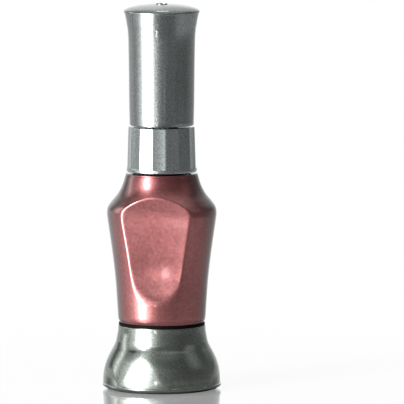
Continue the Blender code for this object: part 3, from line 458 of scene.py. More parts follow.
def makeCap(settings):
    rim, rimHeight, rise = (settings[key] for key in ("rimRadius", "rimHeight", "domeRise"))
    bore, upperBore, mouth, ceiling, relief = (
        settings[key] for key in ("bore", "upperBore", "mouth", "ceiling", "reliefHeight"))
    side = flow(settings["side"], 5)
    edge = settings["gateRadius"]
    inner = edge - settings["gateWall"]
    gateTop, gateFloor = settings["gateTop"], settings["gateFloor"]
    dome = [(rim * math.sin(turn), rimHeight + rise * math.cos(turn)) for turn in np.linspace(
        math.radians(settings["domeStart"]), math.asin(edge / rim) * 1.05, settings["domePoints"])]
    crown = rounded(side[-1], (rim, rimHeight - 0.08), dome[0], settings["rimRounding"], 4)
    gate = roundedLine([
        (*dome[-1], 0), (edge, rimHeight + rise * settings["gateFoot"], 0.05), (edge - 0.03, gateTop, 0.06),
        (inner + 0.02, gateTop, 0.06), (inner, gateFloor, 0.05), (0, gateFloor + 0.03, 0)], 3)
    inside = roundedLine([
        (0, ceiling, 0), (upperBore, ceiling, 0.3), (upperBore, relief + settings["reliefSlope"], 0.1),
        (bore, relief, 0.1), (bore, mouth, 0.12),
        (settings["side"][0][0], mouth, settings["mouthRounding"]), settings["side"][0] + (0,)], 3)
    shell = turned("capShell", inside[:-1] + side + crown + dome[1:-1] + gate, settings["steps"])

    def seamRule(radius, turn, height):
        away = abs((turn - settings["seamTurn"] + 180) % 360 - 180)
        if away >= settings["seamHalf"] or radius < bore + 0.8:  # the bore keeps its form
            return radius
        return radius + settings["seamHeight"] * np.interp(height, *settings["seamFade"])

    press(shell, seamRule)
    stand(shell, "cap", "silver_metallised", capSilver, "cap_shell")

    key = bar("capKeys", settings["keyPlace"], settings["keySize"])
    applied(key, "BEVEL", width=settings["keyRounding"], segments=2)
    keys = copiesRound(key, settings["keys"], settings["keyTurn"])
    stand(keys, "cap", "silver_metallised", capSilver)


makeCap(capSettings)
print("cap ready")

# Collar: fifteen facets, hollow across and leaning in slightly, above a round flange

collarSettings = {
    "facets": 15,
    "facetSteps": 16,
    "edgeTurn": -75.0,
    "bottomRadius": 9.796,  # at the facets' edges
    "topRadius": 9.446,
    "rows": 9,
    "hollow": 0.07,
    "edge": 0.035,  # taken off the facets' edges
    "bottom": 61.8,
    "flangeTop": 62.8,
    "top": 74.5,
    "flangeRadius": 9.956,
    "bore": 8.506,
    "ceiling": 73.5,
    "hole": 5.0,
}


def makeCollar(settings):
    facets, bottom, top, flangeTop = (settings[key] for key in ("facets", "bottom", "top", "flangeTop"))
    low, high, flange = (settings[key] for key in ("bottomRadius", "topRadius", "flangeRadius"))
    bore, hole, ceiling = (settings[key] for key in ("bore", "hole", "ceiling"))
    rows = [(low + (high - low) * (height - flangeTop) / (top - flangeTop), height)
            for height in np.linspace(flangeTop + 0.06, top - 0.4, settings["rows"])]
    line = roundedLine([
        (bore, bottom, 0), (flange, bottom, 0.3), (flange, flangeTop, 0.22), (*rows[0], 0)], 5)[:-1]
    line += rows
    line += roundedLine([
        (*rows[-1], 0), (high, top, 0.25), (hole, top, 0.15), (hole, ceiling, 0.1),
        (bore, ceiling, 0), (bore, bottom, 0)], 4)[1:-1]
    collar = turned("collarShell", line, facets * settings["facetSteps"], closed=True)
    half = math.pi / facets

    def facetRule(radius, turn, height):
        if height < flangeTop + 0.03 or radius < bore + 0.2:  # the flange and the bore stay round
            return radius
        across = (math.radians(turn - settings["edgeTurn"]) % (2 * half)) / half - 1
        flat = math.cos(half) / math.cos(across * half)
        corner = settings["edge"] * max(0.0, abs(across) * 10 - 9)  # over the last tenth of the way
        share = min(1.0, (radius - bore) / (high - bore))
        return radius * flat - (settings["hollow"] * (1 - across ** 2) + corner) * share

    collar.rotation_euler.z = math.radians(settings["edgeTurn"])  # columns of points onto the facets' edges
    settle(collar)
    press(collar, facetRule)
    settle(collar, 20)
    stand(collar, "applicator", "silver_metallised", collarSilverBrightened, "collar_shell")


makeCollar(collarSettings)
print("collar ready")

# Nozzle: ribbed drum, domed shoulder, slim barrel, cone and tip

nozzleSettings = {
    "steps": 120,
    "drum": [(4.99, 74.8, 0), (7.28, 74.8, 0.15), (7.5, 75.8, 0.05), (7.72, 75.82, 0.12),
             (7.72, 76.47, 0.15), (7.0, 76.47, 0.05), (7.0, 81.65, 0)],
    "dome": [(7.0, 81.65), (6.37, 82.40), (5.72, 83.20), (5.14, 83.77)],
    "barrel": [(5.14, 83.9, 0.1), (4.87, 94.67, 0.18), (1.93, 98.37, 0.25), (1.80, 101.77, 0.16),
               (1.30, 101.77, 0.08), (1.30, 100.97, 0), (0.35, 100.97, 0)],
    "channel": [(0.35, 95.87), (1.5, 94.27), (1.5, 79.1), (4.99, 79.1)],
    "ribs": 24,
    "ribTurn": 13.125,
    "ribPlace": (7.15, 0, 78.55),
    "ribSize": (0.9, 1.16, 4.4),
    "ribTip": (-0.25 * mm, 0, 1.0 * mm),  # the upper end runs on over the dome
    "ribLevels": (77.3, 81.2),  # between them the rib's upper edge, above them its tip
    "crestSide": 7.2,
    "crestWidth": 0.36,  # of the width at the root
    "crestRadii": (7.60, 7.36, 6.98),
    "tipRoot": 6.4,
    "ribFoot": 76.42,
    "ribFootSlope": 0.6,
    "ribRounding": 0.09 * mm,
}


def makeRibs(settings):
    rib = bar("nozzleRibs", settings["ribPlace"], settings["ribSize"])
    bpy.ops.object.mode_set(mode="EDIT")
    bpy.ops.mesh.select_mode(type="FACE")
    bpy.ops.mesh.select_all(action="DESELECT")
    bpy.ops.object.mode_set(mode="OBJECT")
    for face in rib.data.polygons:
        face.select = face.normal.z > 0.9
    bpy.ops.object.mode_set(mode="EDIT")
    bpy.ops.mesh.extrude_region_move(TRANSFORM_OT_translate={"value": settings["ribTip"]})
    bpy.ops.mesh.select_mode(type="VERT")
    bpy.ops.object.mode_set(mode="OBJECT")
    foot, upper = settings["ribLevels"]
    low, middle, high = settings["crestRadii"]
    crestSide = settings["crestSide"] * mm
    for vertex in rib.data.vertices:
        height = vertex.co.z / mm
        if vertex.co.x > crestSide:
            vertex.co.y *= settings["crestWidth"]
            vertex.co.x = (low if height < foot else middle if height < upper else high) * mm
        elif height > upper:
            vertex.co.x = settings["tipRoot"] * mm
        if height < foot:
            vertex.co.z = settings["ribFoot"] * mm + max(0.0, vertex.co.x - crestSide) * settings["ribFootSlope"]
    applied(rib, "BEVEL", width=settings["ribRounding"], segments=3)
    return copiesRound(rib, settings["ribs"], settings["ribTurn"])


def makeNozzle(settings):
    dome = flow(settings["dome"], 5)
    line = roundedLine(settings["drum"], 3)[:-1] + dome[:-1]
    line += roundedLine([(*dome[-1], 0), *settings["barrel"]], 4)[1:] + settings["channel"]
    drum = turned("nozzleDrum", line, settings["steps"], closed=True)
    nozzle = joinAll([drum, makeRibs(settings)])
    nozzle.name = "nozzle.body"
    stand(nozzle, "applicator", "grey_satin", nozzleGrey, "nozzle")


makeNozzle(nozzleSettings)
print("nozzle ready")

# Bottle: flared shoulder, waisted body, and a label face pressed flat across the front

bottleSettings = {
    "steps": 300,
    "heel": 18.92,
    "heelRadius": 12.04,
    "upper": [(10.206, 60.92), (10.38, 60.48), (10.85, 58.80), (11.60, 56.99), (12.60, 55.31),
              (14.02, 53.59), (15.20, 51.90), (15.56, 50.12)],
    "lower": [(15.33, 47.75), (15.00, 45.47), (14.00, 38.43), (13.20, 31.52), (12.70, 24.58), (12.42, 20.40)],
    "face": [(13.20, 58.05), (12.60, 55.68), (12.26, 52.66), (12.10, 50.80), (11.84, 46.24), (11.49, 39.46),
             (11.27, 34.6), (11.26, 32.4), (11.33, 30.6), (11.52, 29.0), (11.93, 27.5), (12.36, 26.35),
             (12.86, 25.45), (13.56, 24.4)],  # distance of the label face from the axis, and height
    "faceHalf": 60.0,  # degrees to each side that the face can reach
    "skew": 0.14,  # the top edge of the label face runs lower on its right
    "skewRadius": 11.5,
    "skewLeft": -3.0,  # no less than this on the left
    "skewStart": 42.0,
    "skewSpan": 10.0,
    "softness": 0.27,
    "scoop": ([36, 47], [105, 300]),  # the label face is hollow sideways: heights, and its radius there
    "wall": 1.6,
    "wallRange": (20.7, 58.0),
    "neckRadius": 5.75,
    "neckFoot": 61.3,
    "neckTop": 70.9,
    "neckBore": 3.5,
    "neckBoreFoot": 60.5,
    "shoulderRadius": 10.206,
    "foot": 3.0,
    "footRadius": 10.0,
    "floor": 4.8,
    "footBore": 8.4,
    "footBoreTop": 19.1,
}


def makeBottle(settings):
    heel, wall, floor, footBore = (settings[key] for key in ("heel", "wall", "floor", "footBore"))
    neckRadius, neckBore, neckTop, neckFoot = (
        settings[key] for key in ("neckRadius", "neckBore", "neckTop", "neckFoot"))
    footRadius, foot = settings["footRadius"], settings["foot"]
    side = flow(settings["upper"] + settings["lower"] + [(12.14, heel + 0.45)], 7)
    heights, radii = byHeight(side)
    lowest, highest = settings["wallRange"]
    inner = [(radius - wall, height) for radius, height in side if lowest < height < highest][::3]
    line = roundedLine([
        (0, floor, 0), (footBore, floor, 0.8), (footBore, settings["footBoreTop"], 0.5), (*inner[-1], 0)], 3)[:-1]
    line += inner[::-1]
    line += roundedLine([
        (*inner[0], 0), (neckBore, settings["neckBoreFoot"], 0.8), (neckBore, neckTop, 0.2),
        (neckRadius, neckTop, 0.3), (neckRadius, neckFoot, 0.25),
        (settings["shoulderRadius"], neckFoot, 0.35), (*side[0], 0)], 4)[1:-1]
    line += side[:-1]
    line += roundedLine([
        (*side[-1], 0), (settings["heelRadius"], heel, 0.5), (footRadius, heel, 0.1),
        (footRadius, foot, 0.6), (0, foot, 0)], 3)[1:]
    bottle = turned("bottleBody", line, settings["steps"])
    faceHeights, faceDistances = byHeight(flow(settings["face"], 8))
    softness = settings["softness"]

    def labelRule(radius, turn, height):
        away = abs((turn + 90 + 180) % 360 - 180)
        if away > settings["faceHalf"] or not faceHeights[0] < height < faceHeights[-1]:
            return radius
        slant = math.radians(away)
        inset = wall if radius < np.interp(height, heights, radii) - wall / 2 else 0  # for the inner side
        right = settings["skewRadius"] * math.tan(slant) * (-1 if (turn + 90 + 180) % 360 < 180 else 1)
        upper = min(1.0, max(0.0, (height - settings["skewStart"]) / settings["skewSpan"]))
        skewed = height + settings["skew"] * max(right, settings["skewLeft"]) * upper
        distance = np.interp(skewed, faceHeights, faceDistances)
        across = distance * math.tan(slant)
        hollow = max(0.0, np.interp(height, heights, radii) ** 2 - distance ** 2 - across ** 2)
        scoop = np.interp(height, *settings["scoop"])
        flat = (distance - hollow / (2 * scoop) - inset) / math.cos(slant)
        blend = max(softness - abs(radius - flat), 0) / softness  # softens the edge of the face
        return min(radius, flat) - blend * blend * softness / 4

    press(bottle, labelRule)
    stand(bottle, "bottle", "rose_bottle", roseBottle, "bottle")


threadSettings = {
    "radius": 6.02,
    "bottom": 63.9,
    "size": (0.66, 0.9, 1),
    "crestSide": 6.1,
    "crestHeight": 0.35,  # of the tooth's height at its root
    "pitch": 2.1,
    "turn": 600,
    "steps": 150,
    "sunk": 5.65,  # below the neck's surface, where both ends run to
    "runOut": 40,
    "runOutStart": 30,
}


def makeThread(settings):  # a small tooth wound up round the neck
    bottom, pitch, turn = (settings[key] for key in ("bottom", "pitch", "turn"))
    clearSelection()
    bpy.ops.mesh.primitive_plane_add(size=mm, location=(settings["radius"] * mm, 0, bottom * mm),
                                     rotation=(math.pi / 2, 0, 0), scale=settings["size"])
    thread = named("neckThread")
    choose(thread)
    bpy.ops.object.transform_apply(location=True, rotation=True, scale=True)
    for vertex in thread.data.vertices:
        if vertex.co.x > settings["crestSide"] * mm:
            vertex.co.z = bottom * mm + (vertex.co.z - bottom * mm) * settings["crestHeight"]
    editAll()
    bpy.ops.mesh.delete(type="ONLY_FACE")
    bpy.ops.object.mode_set(mode="OBJECT")
    applied(thread, "SCREW", angle=math.radians(turn), screw_offset=pitch * turn / 360 * mm,
            steps=settings["steps"], render_steps=settings["steps"], use_normal_calculate=True)
    bpy.ops.object.mode_set(mode="EDIT")
    bpy.ops.mesh.select_mode(type="EDGE")
    bpy.ops.mesh.select_all(action="DESELECT")
    bpy.ops.mesh.select_non_manifold()
    bpy.ops.mesh.fill()
    bpy.ops.mesh.select_all(action="SELECT")
    bpy.ops.mesh.normals_make_consistent(inside=False)
    bpy.ops.mesh.select_mode(type="VERT")
    bpy.ops.object.mode_set(mode="OBJECT")
    sunk, start = settings["sunk"] * mm, settings["runOutStart"]
    for vertex in thread.data.vertices:
        along = (vertex.co.z / mm - bottom) / pitch * 360
        fade = min(1.0, max(0.0, min(along + start, turn + start - along) / settings["runOut"]))
        radius = math.hypot(vertex.co.x, vertex.co.y)
        scale = (sunk + (radius - sunk) * fade) / radius
        vertex.co.x *= scale
        vertex.co.y *= scale
    stand(settle(thread), "bottle", "rose_bottle", roseBottle)


makeBottle(bottleSettings)
makeThread(threadSettings)
print("bottle ready")

# Base: a bell whose flare carries seven arch-shaped flats above a round lip, and the black cup inside it

baseSettings = {
    "steps": 336,
    "rim": [(11.3, 5.6, 0), (11.3, 18.12, 0.1), (12.35, 18.12, 0.2)],
    "flare": [(12.38, 17.80), (12.45, 16.60), (12.62, 15.54), (12.85, 14.38), (13.10, 13.30), (13.60, 12.15),
              (14.20, 11.08), (15.30, 8.85), (16.10, 6.63), (16.55, 4.39), (16.75, 2.60), (16.80, 1.40)],
    "inside": [(16.8, 0.95, 0.25), (15.75, 0.3, 0.15), (15.35, 0.3, 0.05), (15.35, 1.5, 0), (14.55, 1.5, 0.1),
               (14.55, 2.3, 0), (15.1, 3.2, 0), (14.6, 6.6, 0), (13.0, 10.2, 0), (11.3, 12.5, 0)],
    "arches": 7,
    "ridgeTurn": -78.0,
    "sag": 0.35,
    "lipTop": 1.40,
    "archHeight": 10.0,
    "power": 1.7,
    "cupSteps": 160,
    "cup": [(0, 2.7, 0), (10.3, 2.7, 0.2), (10.3, 18.86, 0), (12.2, 18.86, 0.12), (12.2, 18.2, 0.12),
            (11.0, 18.2, 0), (11.0, 2.2, 0.2), (10.3, 1.5, 0.2), (0, 1.5, 0)],
}


def makeBase(settings):
    side = flow(settings["flare"], 6)
    line = roundedLine([*settings["rim"], (*side[0], 0)], 3)[:-1] + side[:-1]
    line += roundedLine([(*side[-1], 0), *settings["inside"]], 3)
    shell = turned("baseShell", line[1:], settings["steps"], closed=True)
    pitch = 360 / settings["arches"]
    flareHeights, flareRadii = byHeight(side)

    def archRule(radius, turn, height):
        rise = (height - settings["lipTop"]) / settings["archHeight"]
        outside = radius >= np.interp(height, flareHeights, flareRadii) - 0.5
        if rise < 0.02 or rise > 1 or not outside:
            return radius
        across = 2 * ((turn - settings["ridgeTurn"]) % pitch - pitch / 2) / pitch
        return radius - settings["sag"] * max(0.0, (1 - rise) ** settings["power"] - across ** 2)

    press(shell, archRule)
    settle(shell, 25)
    stand(shell, "bottle", "silver_metallised", baseSilver, "base_shell")
    cup = turned("baseInsert", roundedLine(settings["cup"], 3), settings["cupSteps"])
    stand(cup, "bottle", "black_plastic", seamShadeBlack, "base_insert")


makeBase(baseSettings)
print("base ready")

# Stem: tapered rod with a film of polish and a bead of it below the collar

stemSettings = {
    "steps": 64,
    "rod": [(0, 78.5, 0), (3.1, 78.5, 0.3), (3.1, 72.6, 0.1), (1.9, 72.6, 0.1), (1.9, 61.8, 0), (1.55, 32.4, 0.15),
            (1.30, 31.9, 0.1), (0.62, 31.9, 0.05), (0.62, 35.3, 0), (0, 35.3, 0)],
    "filmTop": 61.5,
    "filmLength": 29.6,
    "filmRadii": (1.9, 1.53),  # of the rod at both ends of the film
    "filmDepth": 0.05,
    "filmHeights": (61.2, 32.3, 90),
    "filmEnd": [(1.42, 31.88), (1.0, 31.72), (0.66, 31.5), (0.5, 31.55), (0.4, 32.2)],
    "beadHeight": 44.7,
    "beadLength": 4.4,
    "beadSize": 0.42,
    "beadLeast": 0.12,  # of its size, on the far side
    "beadTurn": 175.0 + viewAngle,
    "sagDepth": 0.05,  # the film is thicker below the bead, and ripples there
    "sagLength": 6.0,
    "ripple": 0.02,
    "filmTones": ((0.34, (0.20, 0.115, 0.10)), (0.52, (0.36, 0.19, 0.17)), (0.68, (0.50, 0.27, 0.24))),
    "filmRoughness": (0.12, 0.26),
    "blotchScale": 420.0,
    "blotchSquash": (1, 1, 0.25),
    "pearlScale": 4300.0,
    "pearlDepth": 0.004 * mm,
}


def filmFinish(settings):
    material, tree, shader = newFinish("stemFilm", (0.34, 0.19, 0.17), 0.16, 0.55, 0.9)
    blotches = noise(tree, objectPlace(tree, settings["blotchSquash"]), settings["blotchScale"], 3.0, 0.55)
    pearl = noise(tree, objectPlace(tree), settings["pearlScale"], 2.0, 0.7)
    feed(shader, {"Base Color": ramp(tree, blotches, settings["filmTones"]),
                  "Roughness": spread(tree, pearl, *settings["filmRoughness"], *noiseRange)})
    bump(tree, shader, pearl, settings["pearlDepth"])
    return material


def makeStem(settings):
    stem = turned("stemRod", roundedLine(settings["rod"], 3), settings["steps"])
    stand(stem, "applicator", "smoked_plastic", stemPlastic, "stem")

    top, length = settings["filmTop"], settings["filmLength"]
    upper, lower = settings["filmRadii"]
    film = [(upper + (lower - upper) * (top - height) / length + settings["filmDepth"], height)
            for height in np.linspace(*settings["filmHeights"])]
    coat = turned("polishFilm", [(1.75, top), (1.88, top + 0.05), *film, *settings["filmEnd"]], settings["steps"])

    def beadRule(radius, turn, height):
        if radius < 1.3 or height > 61.3:  # the film's inner side and upper end stay on the rod
            return radius
        swell = math.exp(-((height - settings["beadHeight"]) / (settings["beadLength"] / 2.6)) ** 2)
        around = 0.45 + 0.55 * math.cos(math.radians(turn - settings["beadTurn"]))
        below = max(0.0, min(1.0, (settings["beadHeight"] - height) / settings["sagLength"]))
        ripple = settings["ripple"] * math.sin(height * 1.3 + math.radians(turn)) * below
        bead = settings["beadSize"] * swell * max(settings["beadLeast"], around)
        return radius + bead + settings["sagDepth"] * below + ripple

    press(coat, beadRule)
    settle(coat)
    stand(coat, "applicator", "rose_polish", filmFinish(settings))


makeStem(stemSettings)
print("stem ready")

# Striping brush: one fine filament, copied into a long slim bundle

brushSettings = {
    "filaments": 330,
    "segments": 7,
    "root": 34.1,
    "tip": 10.8,
    "rootRadius": 0.41,
    "bellyRadius": 0.56,
    "bellyShares": [0.9, 1.0, 0.86, 0.6],
    "radiusPlaces": [0, 0.35, 0.75, 0.93, 1],  # shares of the length from root to tip
    "filamentRadius": 0.028,
    "taper": ([0, 0.6, 1], [1, 1, 0.35]),
    "turnStep": 2.39996,  # the golden angle fills the round evenly
    "outerShorter": 0.9,
    "unevenness": 0.5,
    "lean": 0.35,
    "sway": 0.05,
    "seed": 11,
    "strandScale": 12000.0,
    "strandSquash": (1, 1, 0.02),
    "strandTones": ((0.05, 0.045, 0.045), (0.20, 0.16, 0.15)),
    "strandRoughness": (0.22, 0.42),
    "strandDepth": 0.004 * mm,
}


def bristleFinish(settings):
    material, tree, shader = newFinish("bristleNylon", (0.10, 0.085, 0.08), 0.3, 0.0, 0.4, 0.12)
    strands = noise(tree, objectPlace(tree, settings["strandSquash"]), settings["strandScale"], 2.0, 0.6)
    feed(shader, {"Base Color": twoTone(tree, strands, *settings["strandTones"]),
                  "Roughness": spread(tree, strands, *settings["strandRoughness"], *noiseRange)})
    bump(tree, shader, strands, settings["strandDepth"])
    return material


def makeBrush(settings):
    root, belly, segments = (settings[key] for key in ("root", "bellyRadius", "segments"))
    length = root - settings["tip"]
    clearSelection()
    bpy.ops.mesh.primitive_cylinder_add(vertices=4, radius=settings["filamentRadius"] * mm, depth=length * mm,
                                        location=(0, 0, (root - length / 2) * mm))
    filament = settle(named("bristles.brush"))
    editAll()
    for share in range(1, segments):
        height = (root - length * share / segments) * mm
        bpy.ops.mesh.select_all(action="SELECT")
        bpy.ops.mesh.bisect(plane_co=(0, 0, height), plane_no=(0, 0, 1))
    bpy.ops.object.mode_set(mode="OBJECT")
    single = np.array([vertex.co for vertex in filament.data.vertices])
    faces = [list(face.vertices) for face in filament.data.polygons]
    radiusRun = [settings["rootRadius"], *(belly * share for share in settings["bellyShares"])]
    draws = random.Random(settings["seed"])
    allPoints, allFaces = [], []
    for index in range(settings["filaments"]):
        ring = math.sqrt((index + 0.5) / settings["filaments"])
        turn = index * settings["turnStep"]
        shorter = (settings["outerShorter"] * ring ** 2 + draws.uniform(0, settings["unevenness"])
                   + settings["lean"] * math.cos(turn))
        sway = draws.uniform(-settings["sway"], settings["sway"]) * mm
        points = single.copy()
        share = (root * mm - points[:, 2]) / (length * mm)
        radius = np.interp(share, settings["radiusPlaces"], radiusRun) * ring * mm
        points[:, :2] *= np.interp(share, *settings["taper"])[:, None]
        points[:, 0] += radius * math.cos(turn) + sway * np.sin(share * 5 + index)
        points[:, 1] += radius * math.sin(turn) + sway * np.cos(share * 4 + index)
        points[:, 2] = root * mm - share * (length - max(shorter, 0)) * mm
        base = index * len(single)
        allPoints.append(points)
        allFaces += [[corner + base for corner in face] for face in faces]
    bundle = bpy.data.meshes.new("bristles.brush")
    bundle.from_pydata(np.concatenate(allPoints).tolist(), [], allFaces)
    filament.data = bundle
    settle(filament, 60)
    stand(filament, "applicator", "dark_nylon", bristleFinish(settings), "bristles")


makeBrush(brushSettings)
print("brush ready")

# What stands round the pen: each pair is a turn in degrees to the viewer's right and the level of light there.
# A tall soft box stands far left, dark flags stand on the right, and the white backdrop stands behind.

sideLevels = [
    (-180, 0.8), (-165, 0.72), (-150, 0.50), (-121, 0.43), (-110, 0.31), (-101, 0.38), (-92, 0.55), (-84, 0.8),
    (-76, 1.1), (-69, 2.2), (-62, 4.5), (-56, 11.0), (-48, 11.0), (-40, 4.0), (-30, 1.7), (-24, 0.98), (-18, 0.70),
    (-12, 0.49), (-6, 0.35), (0, 0.25), (12, 0.21), (24, 0.15), (42, 0.15), (55, 0.105), (76, 0.105), (92, 0.105),
    (110, 0.15), (121, 0.20), (135, 0.245), (150, 0.34), (165, 0.65), (180, 0.8)]
lowLevels = [
    (-180, 0.8), (-160, 0.75), (-147, 0.50), (-136, 0.10), (-126, 0.25), (-118, 0.70), (-110, 1.45), (-103, 0.64),
    (-96, 0.44), (-88, 0.64), (-78, 0.90), (-72, 1.4), (-66, 3.2), (-60, 6.0), (-52, 11.0), (-44, 8.0), (-34, 3.0),
    (-28, 1.7), (-22, 1.0), (-14, 0.5), (-6, 0.27), (6, 0.19), (24, 0.13), (48, 0.09), (76, 0.09), (101, 0.11),
    (121, 0.12), (135, 0.14), (150, 0.34), (165, 0.65), (180, 0.8)]
upperLevels = [
    (-180, 0.6), (-150, 0.38), (-130, 0.10), (-112, 0.03), (-85, 0.04), (-70, 0.4), (-50, 1.0), (-34, 0.55),
    (-24, 0.28), (-10, 0.15), (30, 0.10), (58, 0.08), (68, 0.17), (77, 0.22), (90, 0.17), (102, 0.09),
    (116, 0.09), (132, 0.24), (150, 0.4), (180, 0.6)]
floorLevels = [
    (-180, 0.8), (-165, 0.72), (-150, 0.45), (-121, 0.38), (-110, 0.36), (-92, 0.50), (-84, 0.72), (-76, 1.1),
    (-69, 2.2), (-62, 4.5), (-56, 9.0), (-48, 9.0), (-40, 3.6), (-30, 1.3), (-24, 0.52), (-18, 0.32), (-12, 0.24),
    (0, 0.17), (24, 0.14), (42, 0.16), (55, 0.24), (69, 0.28), (110, 0.26), (135, 0.30), (150, 0.36), (165, 0.65),
    (180, 0.8)]

# Ranges are the Z of a direction, from 0 level with the pen to 1 straight up
studioSettings = {
    "brightest": 12.0,
    "floorRange": (-0.24, -0.10),
    "lowRange": (0.03, 0.09),
    "upperRange": (27.0, 40.0),  # in degrees above level
    "rightLift": 0.22,  # on the right the upper levels start lower
    "rightLiftTurns": (0.95, 1.2),  # in radians
    "zenith": 0.33,
    "zenithRange": (0.66, 0.88),
    "backdropTurn": 168.0,  # degrees to each side, where the backdrop begins
    "backdropRange": (0.17, 0.26),
    "lamps": [  # name, shape, turn, rise, distance, size, power, height of what it is aimed at
        ("sparkle", "ELLIPSE", -48.5, 32, 0.9, (0.20, 0.085), 1.05, 0.059),
        ("faceLight", "ELLIPSE", -17.2, -5.9, 0.405, (0.015, 0.058), 0.0115, 0.031),
        ("backStrip", "RECTANGLE", 180, 56, 0.7, (0.10, 0.05), 0.06, 0.107)],
}


def fromViewer(turn, rise, distance):  # turn to the viewer's right and rise, in degrees, seen from the pen
    angle = math.radians(viewAngle + turn)
    level = distance * math.cos(math.radians(rise))
    return (level * math.sin(angle), -level * math.cos(angle), distance * math.sin(math.radians(rise)))


def aimAt(thing, target):
    direction = [t - p for t, p in zip(target, thing.location)]
    level = math.hypot(direction[0], direction[1])
    thing.rotation_euler = (math.pi / 2 + math.atan2(direction[2], level), 0,
                            math.atan2(direction[1], direction[0]) - math.pi / 2)


def areaLight(name, shape, turn, rise, distance, size, power, aimHeight):
    data = bpy.data.lights.new(name, "AREA")
    data.shape = shape
    data.size, data.size_y = size
    data.energy = power
    lamp = bpy.data.objects.new(name, data)
    bpy.context.scene.collection.objects.link(lamp)
    x, y, z = fromViewer(turn, rise, distance)
    lamp.location = (x, y, z + aimHeight)
    aimAt(lamp, (0, 0, aimHeight))


def makeStudio(settings):
    scene = bpy.context.scene
    scene.view_settings.view_transform = "Standard"
    for lamp in settings["lamps"]:
        areaLight(*lamp)

    world = bpy.data.worlds.new("studioRoom")
    scene.world = world
    world.use_nodes = True
    tree = world.node_tree
    tree.nodes.clear()
    place = newNode(tree, "Mapping", {"Vector": newNode(tree, "TexCoord").outputs["Generated"],
                                      "Rotation": (0, 0, -math.radians(viewAngle))}).outputs["Vector"]
    parts = newNode(tree, "SeparateXYZ", {"Vector": place}).outputs
    height = parts["Z"]
    around = calculate(tree, "ARCTAN2", parts["X"], calculate(tree, "MULTIPLY", parts["Y"], -1.0))

    share = spread(tree, around, 0, 1, -math.pi, math.pi)
    brightest = settings["brightest"]
    walls, low, upper, floor = (ramp(tree, share, [
        ((angle + 180) / 360, (level / brightest,) * 3) for angle, level in levels])
        for levels in (sideLevels, lowLevels, upperLevels, floorLevels))
    pattern = blended(tree, spread(tree, height, 0, 1, *settings["lowRange"]), walls, low)
    start, end = (math.sin(math.radians(angle)) for angle in settings["upperRange"])
    rightLift = spread(tree, around, 0, settings["rightLift"], *settings["rightLiftTurns"])
    lifted = calculate(tree, "ADD", height, rightLift)
    pattern = blended(tree, spread(tree, lifted, 0, 1, start, end), pattern, upper)
    pattern = blended(tree, spread(tree, height, 1, 0, *settings["floorRange"]), pattern, floor)
    zenith = (settings["zenith"] / brightest,) * 3
    pattern = blended(tree, spread(tree, height, 0, 1, *settings["zenithRange"]), pattern, zenith)
    room = newNode(tree, "Background", {"Color": pattern, "Strength": brightest}).outputs["Background"]

    backdrop = newNode(tree, "Background", {"Color": (1, 1, 1, 1)}).outputs["Background"]
    rays = newNode(tree, "LightPath").outputs
    behind = calculate(tree, "GREATER_THAN", calculate(tree, "ABSOLUTE", around),
                       math.radians(settings["backdropTurn"]))
    below = spread(tree, height, 1, 0, *settings["backdropRange"])
    shown = calculate(tree, "MAXIMUM", rays["Is Glossy Ray"], rays["Is Transmission Ray"])
    shown = calculate(tree, "MULTIPLY", shown, behind)
    shown = calculate(tree, "MULTIPLY", shown, below)
    shown = calculate(tree, "MAXIMUM", shown, rays["Is Camera Ray"])
    newNode(tree, "OutputWorld", {"Surface": mixed(tree, shown, room, backdrop)})


# Table: white and glossy near the pen, fading into the backdrop; away from the pen only the camera sees it

tableSettings = {
    "size": 12,
    "colour": (0.90, 0.90, 0.90),
    "roughness": 0.6,
    "diffuse": 0.35,
    "glow": 1.17,
    "polishScale": 30.0,
    "polishRoughness": (0.04, 0.09),
    "index": 1.5,
    "mirror": 1.4,
    "fade": (0.06, 0.2),
    "reach": (0.08, 0.10),
}


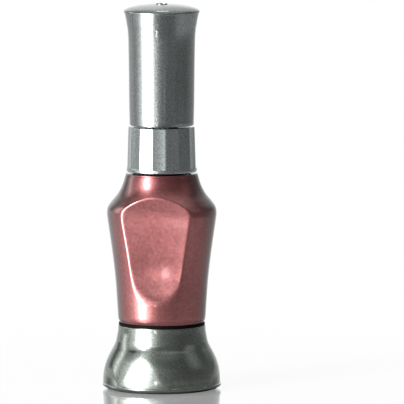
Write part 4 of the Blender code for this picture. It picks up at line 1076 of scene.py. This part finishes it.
def makeTable(settings):
    clearSelection()
    bpy.ops.mesh.primitive_plane_add(size=settings["size"], location=(0, 0, 0))
    table = named("tableTop")
    material, tree, shader = newFinish("glossyTable", settings["colour"], settings["roughness"])
    feed(shader, {"Specular IOR Level": 0.0})
    place = objectPlace(tree)
    away = newNode(tree, "VectorMath", {0: place}, operation="LENGTH").outputs["Value"]
    rays = newNode(tree, "LightPath").outputs
    glow = newNode(tree, "Emission", {
        "Strength": calculate(tree, "MULTIPLY", rays["Is Camera Ray"], settings["glow"])}).outputs["Emission"]
    base = mixed(tree, 1 - settings["diffuse"], shader.outputs["BSDF"], glow)
    cloudy = noise(tree, place, settings["polishScale"], 3.0)
    polish = newNode(tree, "BsdfGlossy", {
        "Color": (1, 1, 1, 1), "Roughness": spread(tree, cloudy, *settings["polishRoughness"], *noiseRange)})
    fresnel = newNode(tree, "Fresnel", {"IOR": settings["index"]}).outputs["Fac"]
    mirror = calculate(tree, "MULTIPLY", fresnel, settings["mirror"])
    top = mixed(tree, mirror, base, polish.outputs["BSDF"])
    white = newNode(tree, "Emission").outputs["Emission"]
    whole = mixed(tree, spread(tree, away, 0, 1, *settings["fade"]), top, white)
    clear = newNode(tree, "BsdfTransparent").outputs["BSDF"]
    near = spread(tree, away, 1, 0, *settings["reach"])
    shown = calculate(tree, "MAXIMUM", near, rays["Is Camera Ray"])
    feed(tree.nodes["Material Output"], {"Surface": mixed(tree, shown, clear, whole)})
    finishOf(table, material)


cameraSettings = {
    "distance": 2.4,
    "eyeHeight": 0.30,
    "middleHeight": 0.053,
    "pixel": 0.2831 * mm,
    "imageSize": 404,
    "penColumn": 161.8,
    "tableRow": 388.2,
    "sensor": 36,
}


def makeCamera(settings):
    data = bpy.data.cameras.new("photoCamera")
    camera = bpy.data.objects.new("photoCamera", data)
    bpy.context.scene.collection.objects.link(camera)
    bpy.context.scene.camera = camera
    angle = math.radians(viewAngle)
    distance, eyeHeight, pixel = (settings[key] for key in ("distance", "eyeHeight", "pixel"))
    camera.location = (distance * math.sin(angle), -distance * math.cos(angle), eyeHeight)
    half = settings["imageSize"] / 2
    sideways = (half - settings["penColumn"]) * pixel
    lean = math.atan2(eyeHeight - settings["middleHeight"], distance)
    upwards = (settings["tableRow"] - half) * pixel / math.cos(lean)
    target = (sideways * math.cos(angle), sideways * math.sin(angle), upwards)
    aimAt(camera, target)
    reach = math.dist(camera.location, target)
    data.sensor_width = settings["sensor"]
    data.lens = settings["sensor"] / 2 / (half * pixel / reach)
    data.clip_start, data.clip_end = 0.1, 60


makeStudio(studioSettings)
makeTable(tableSettings)
makeCamera(cameraSettings)
print("studio ready")
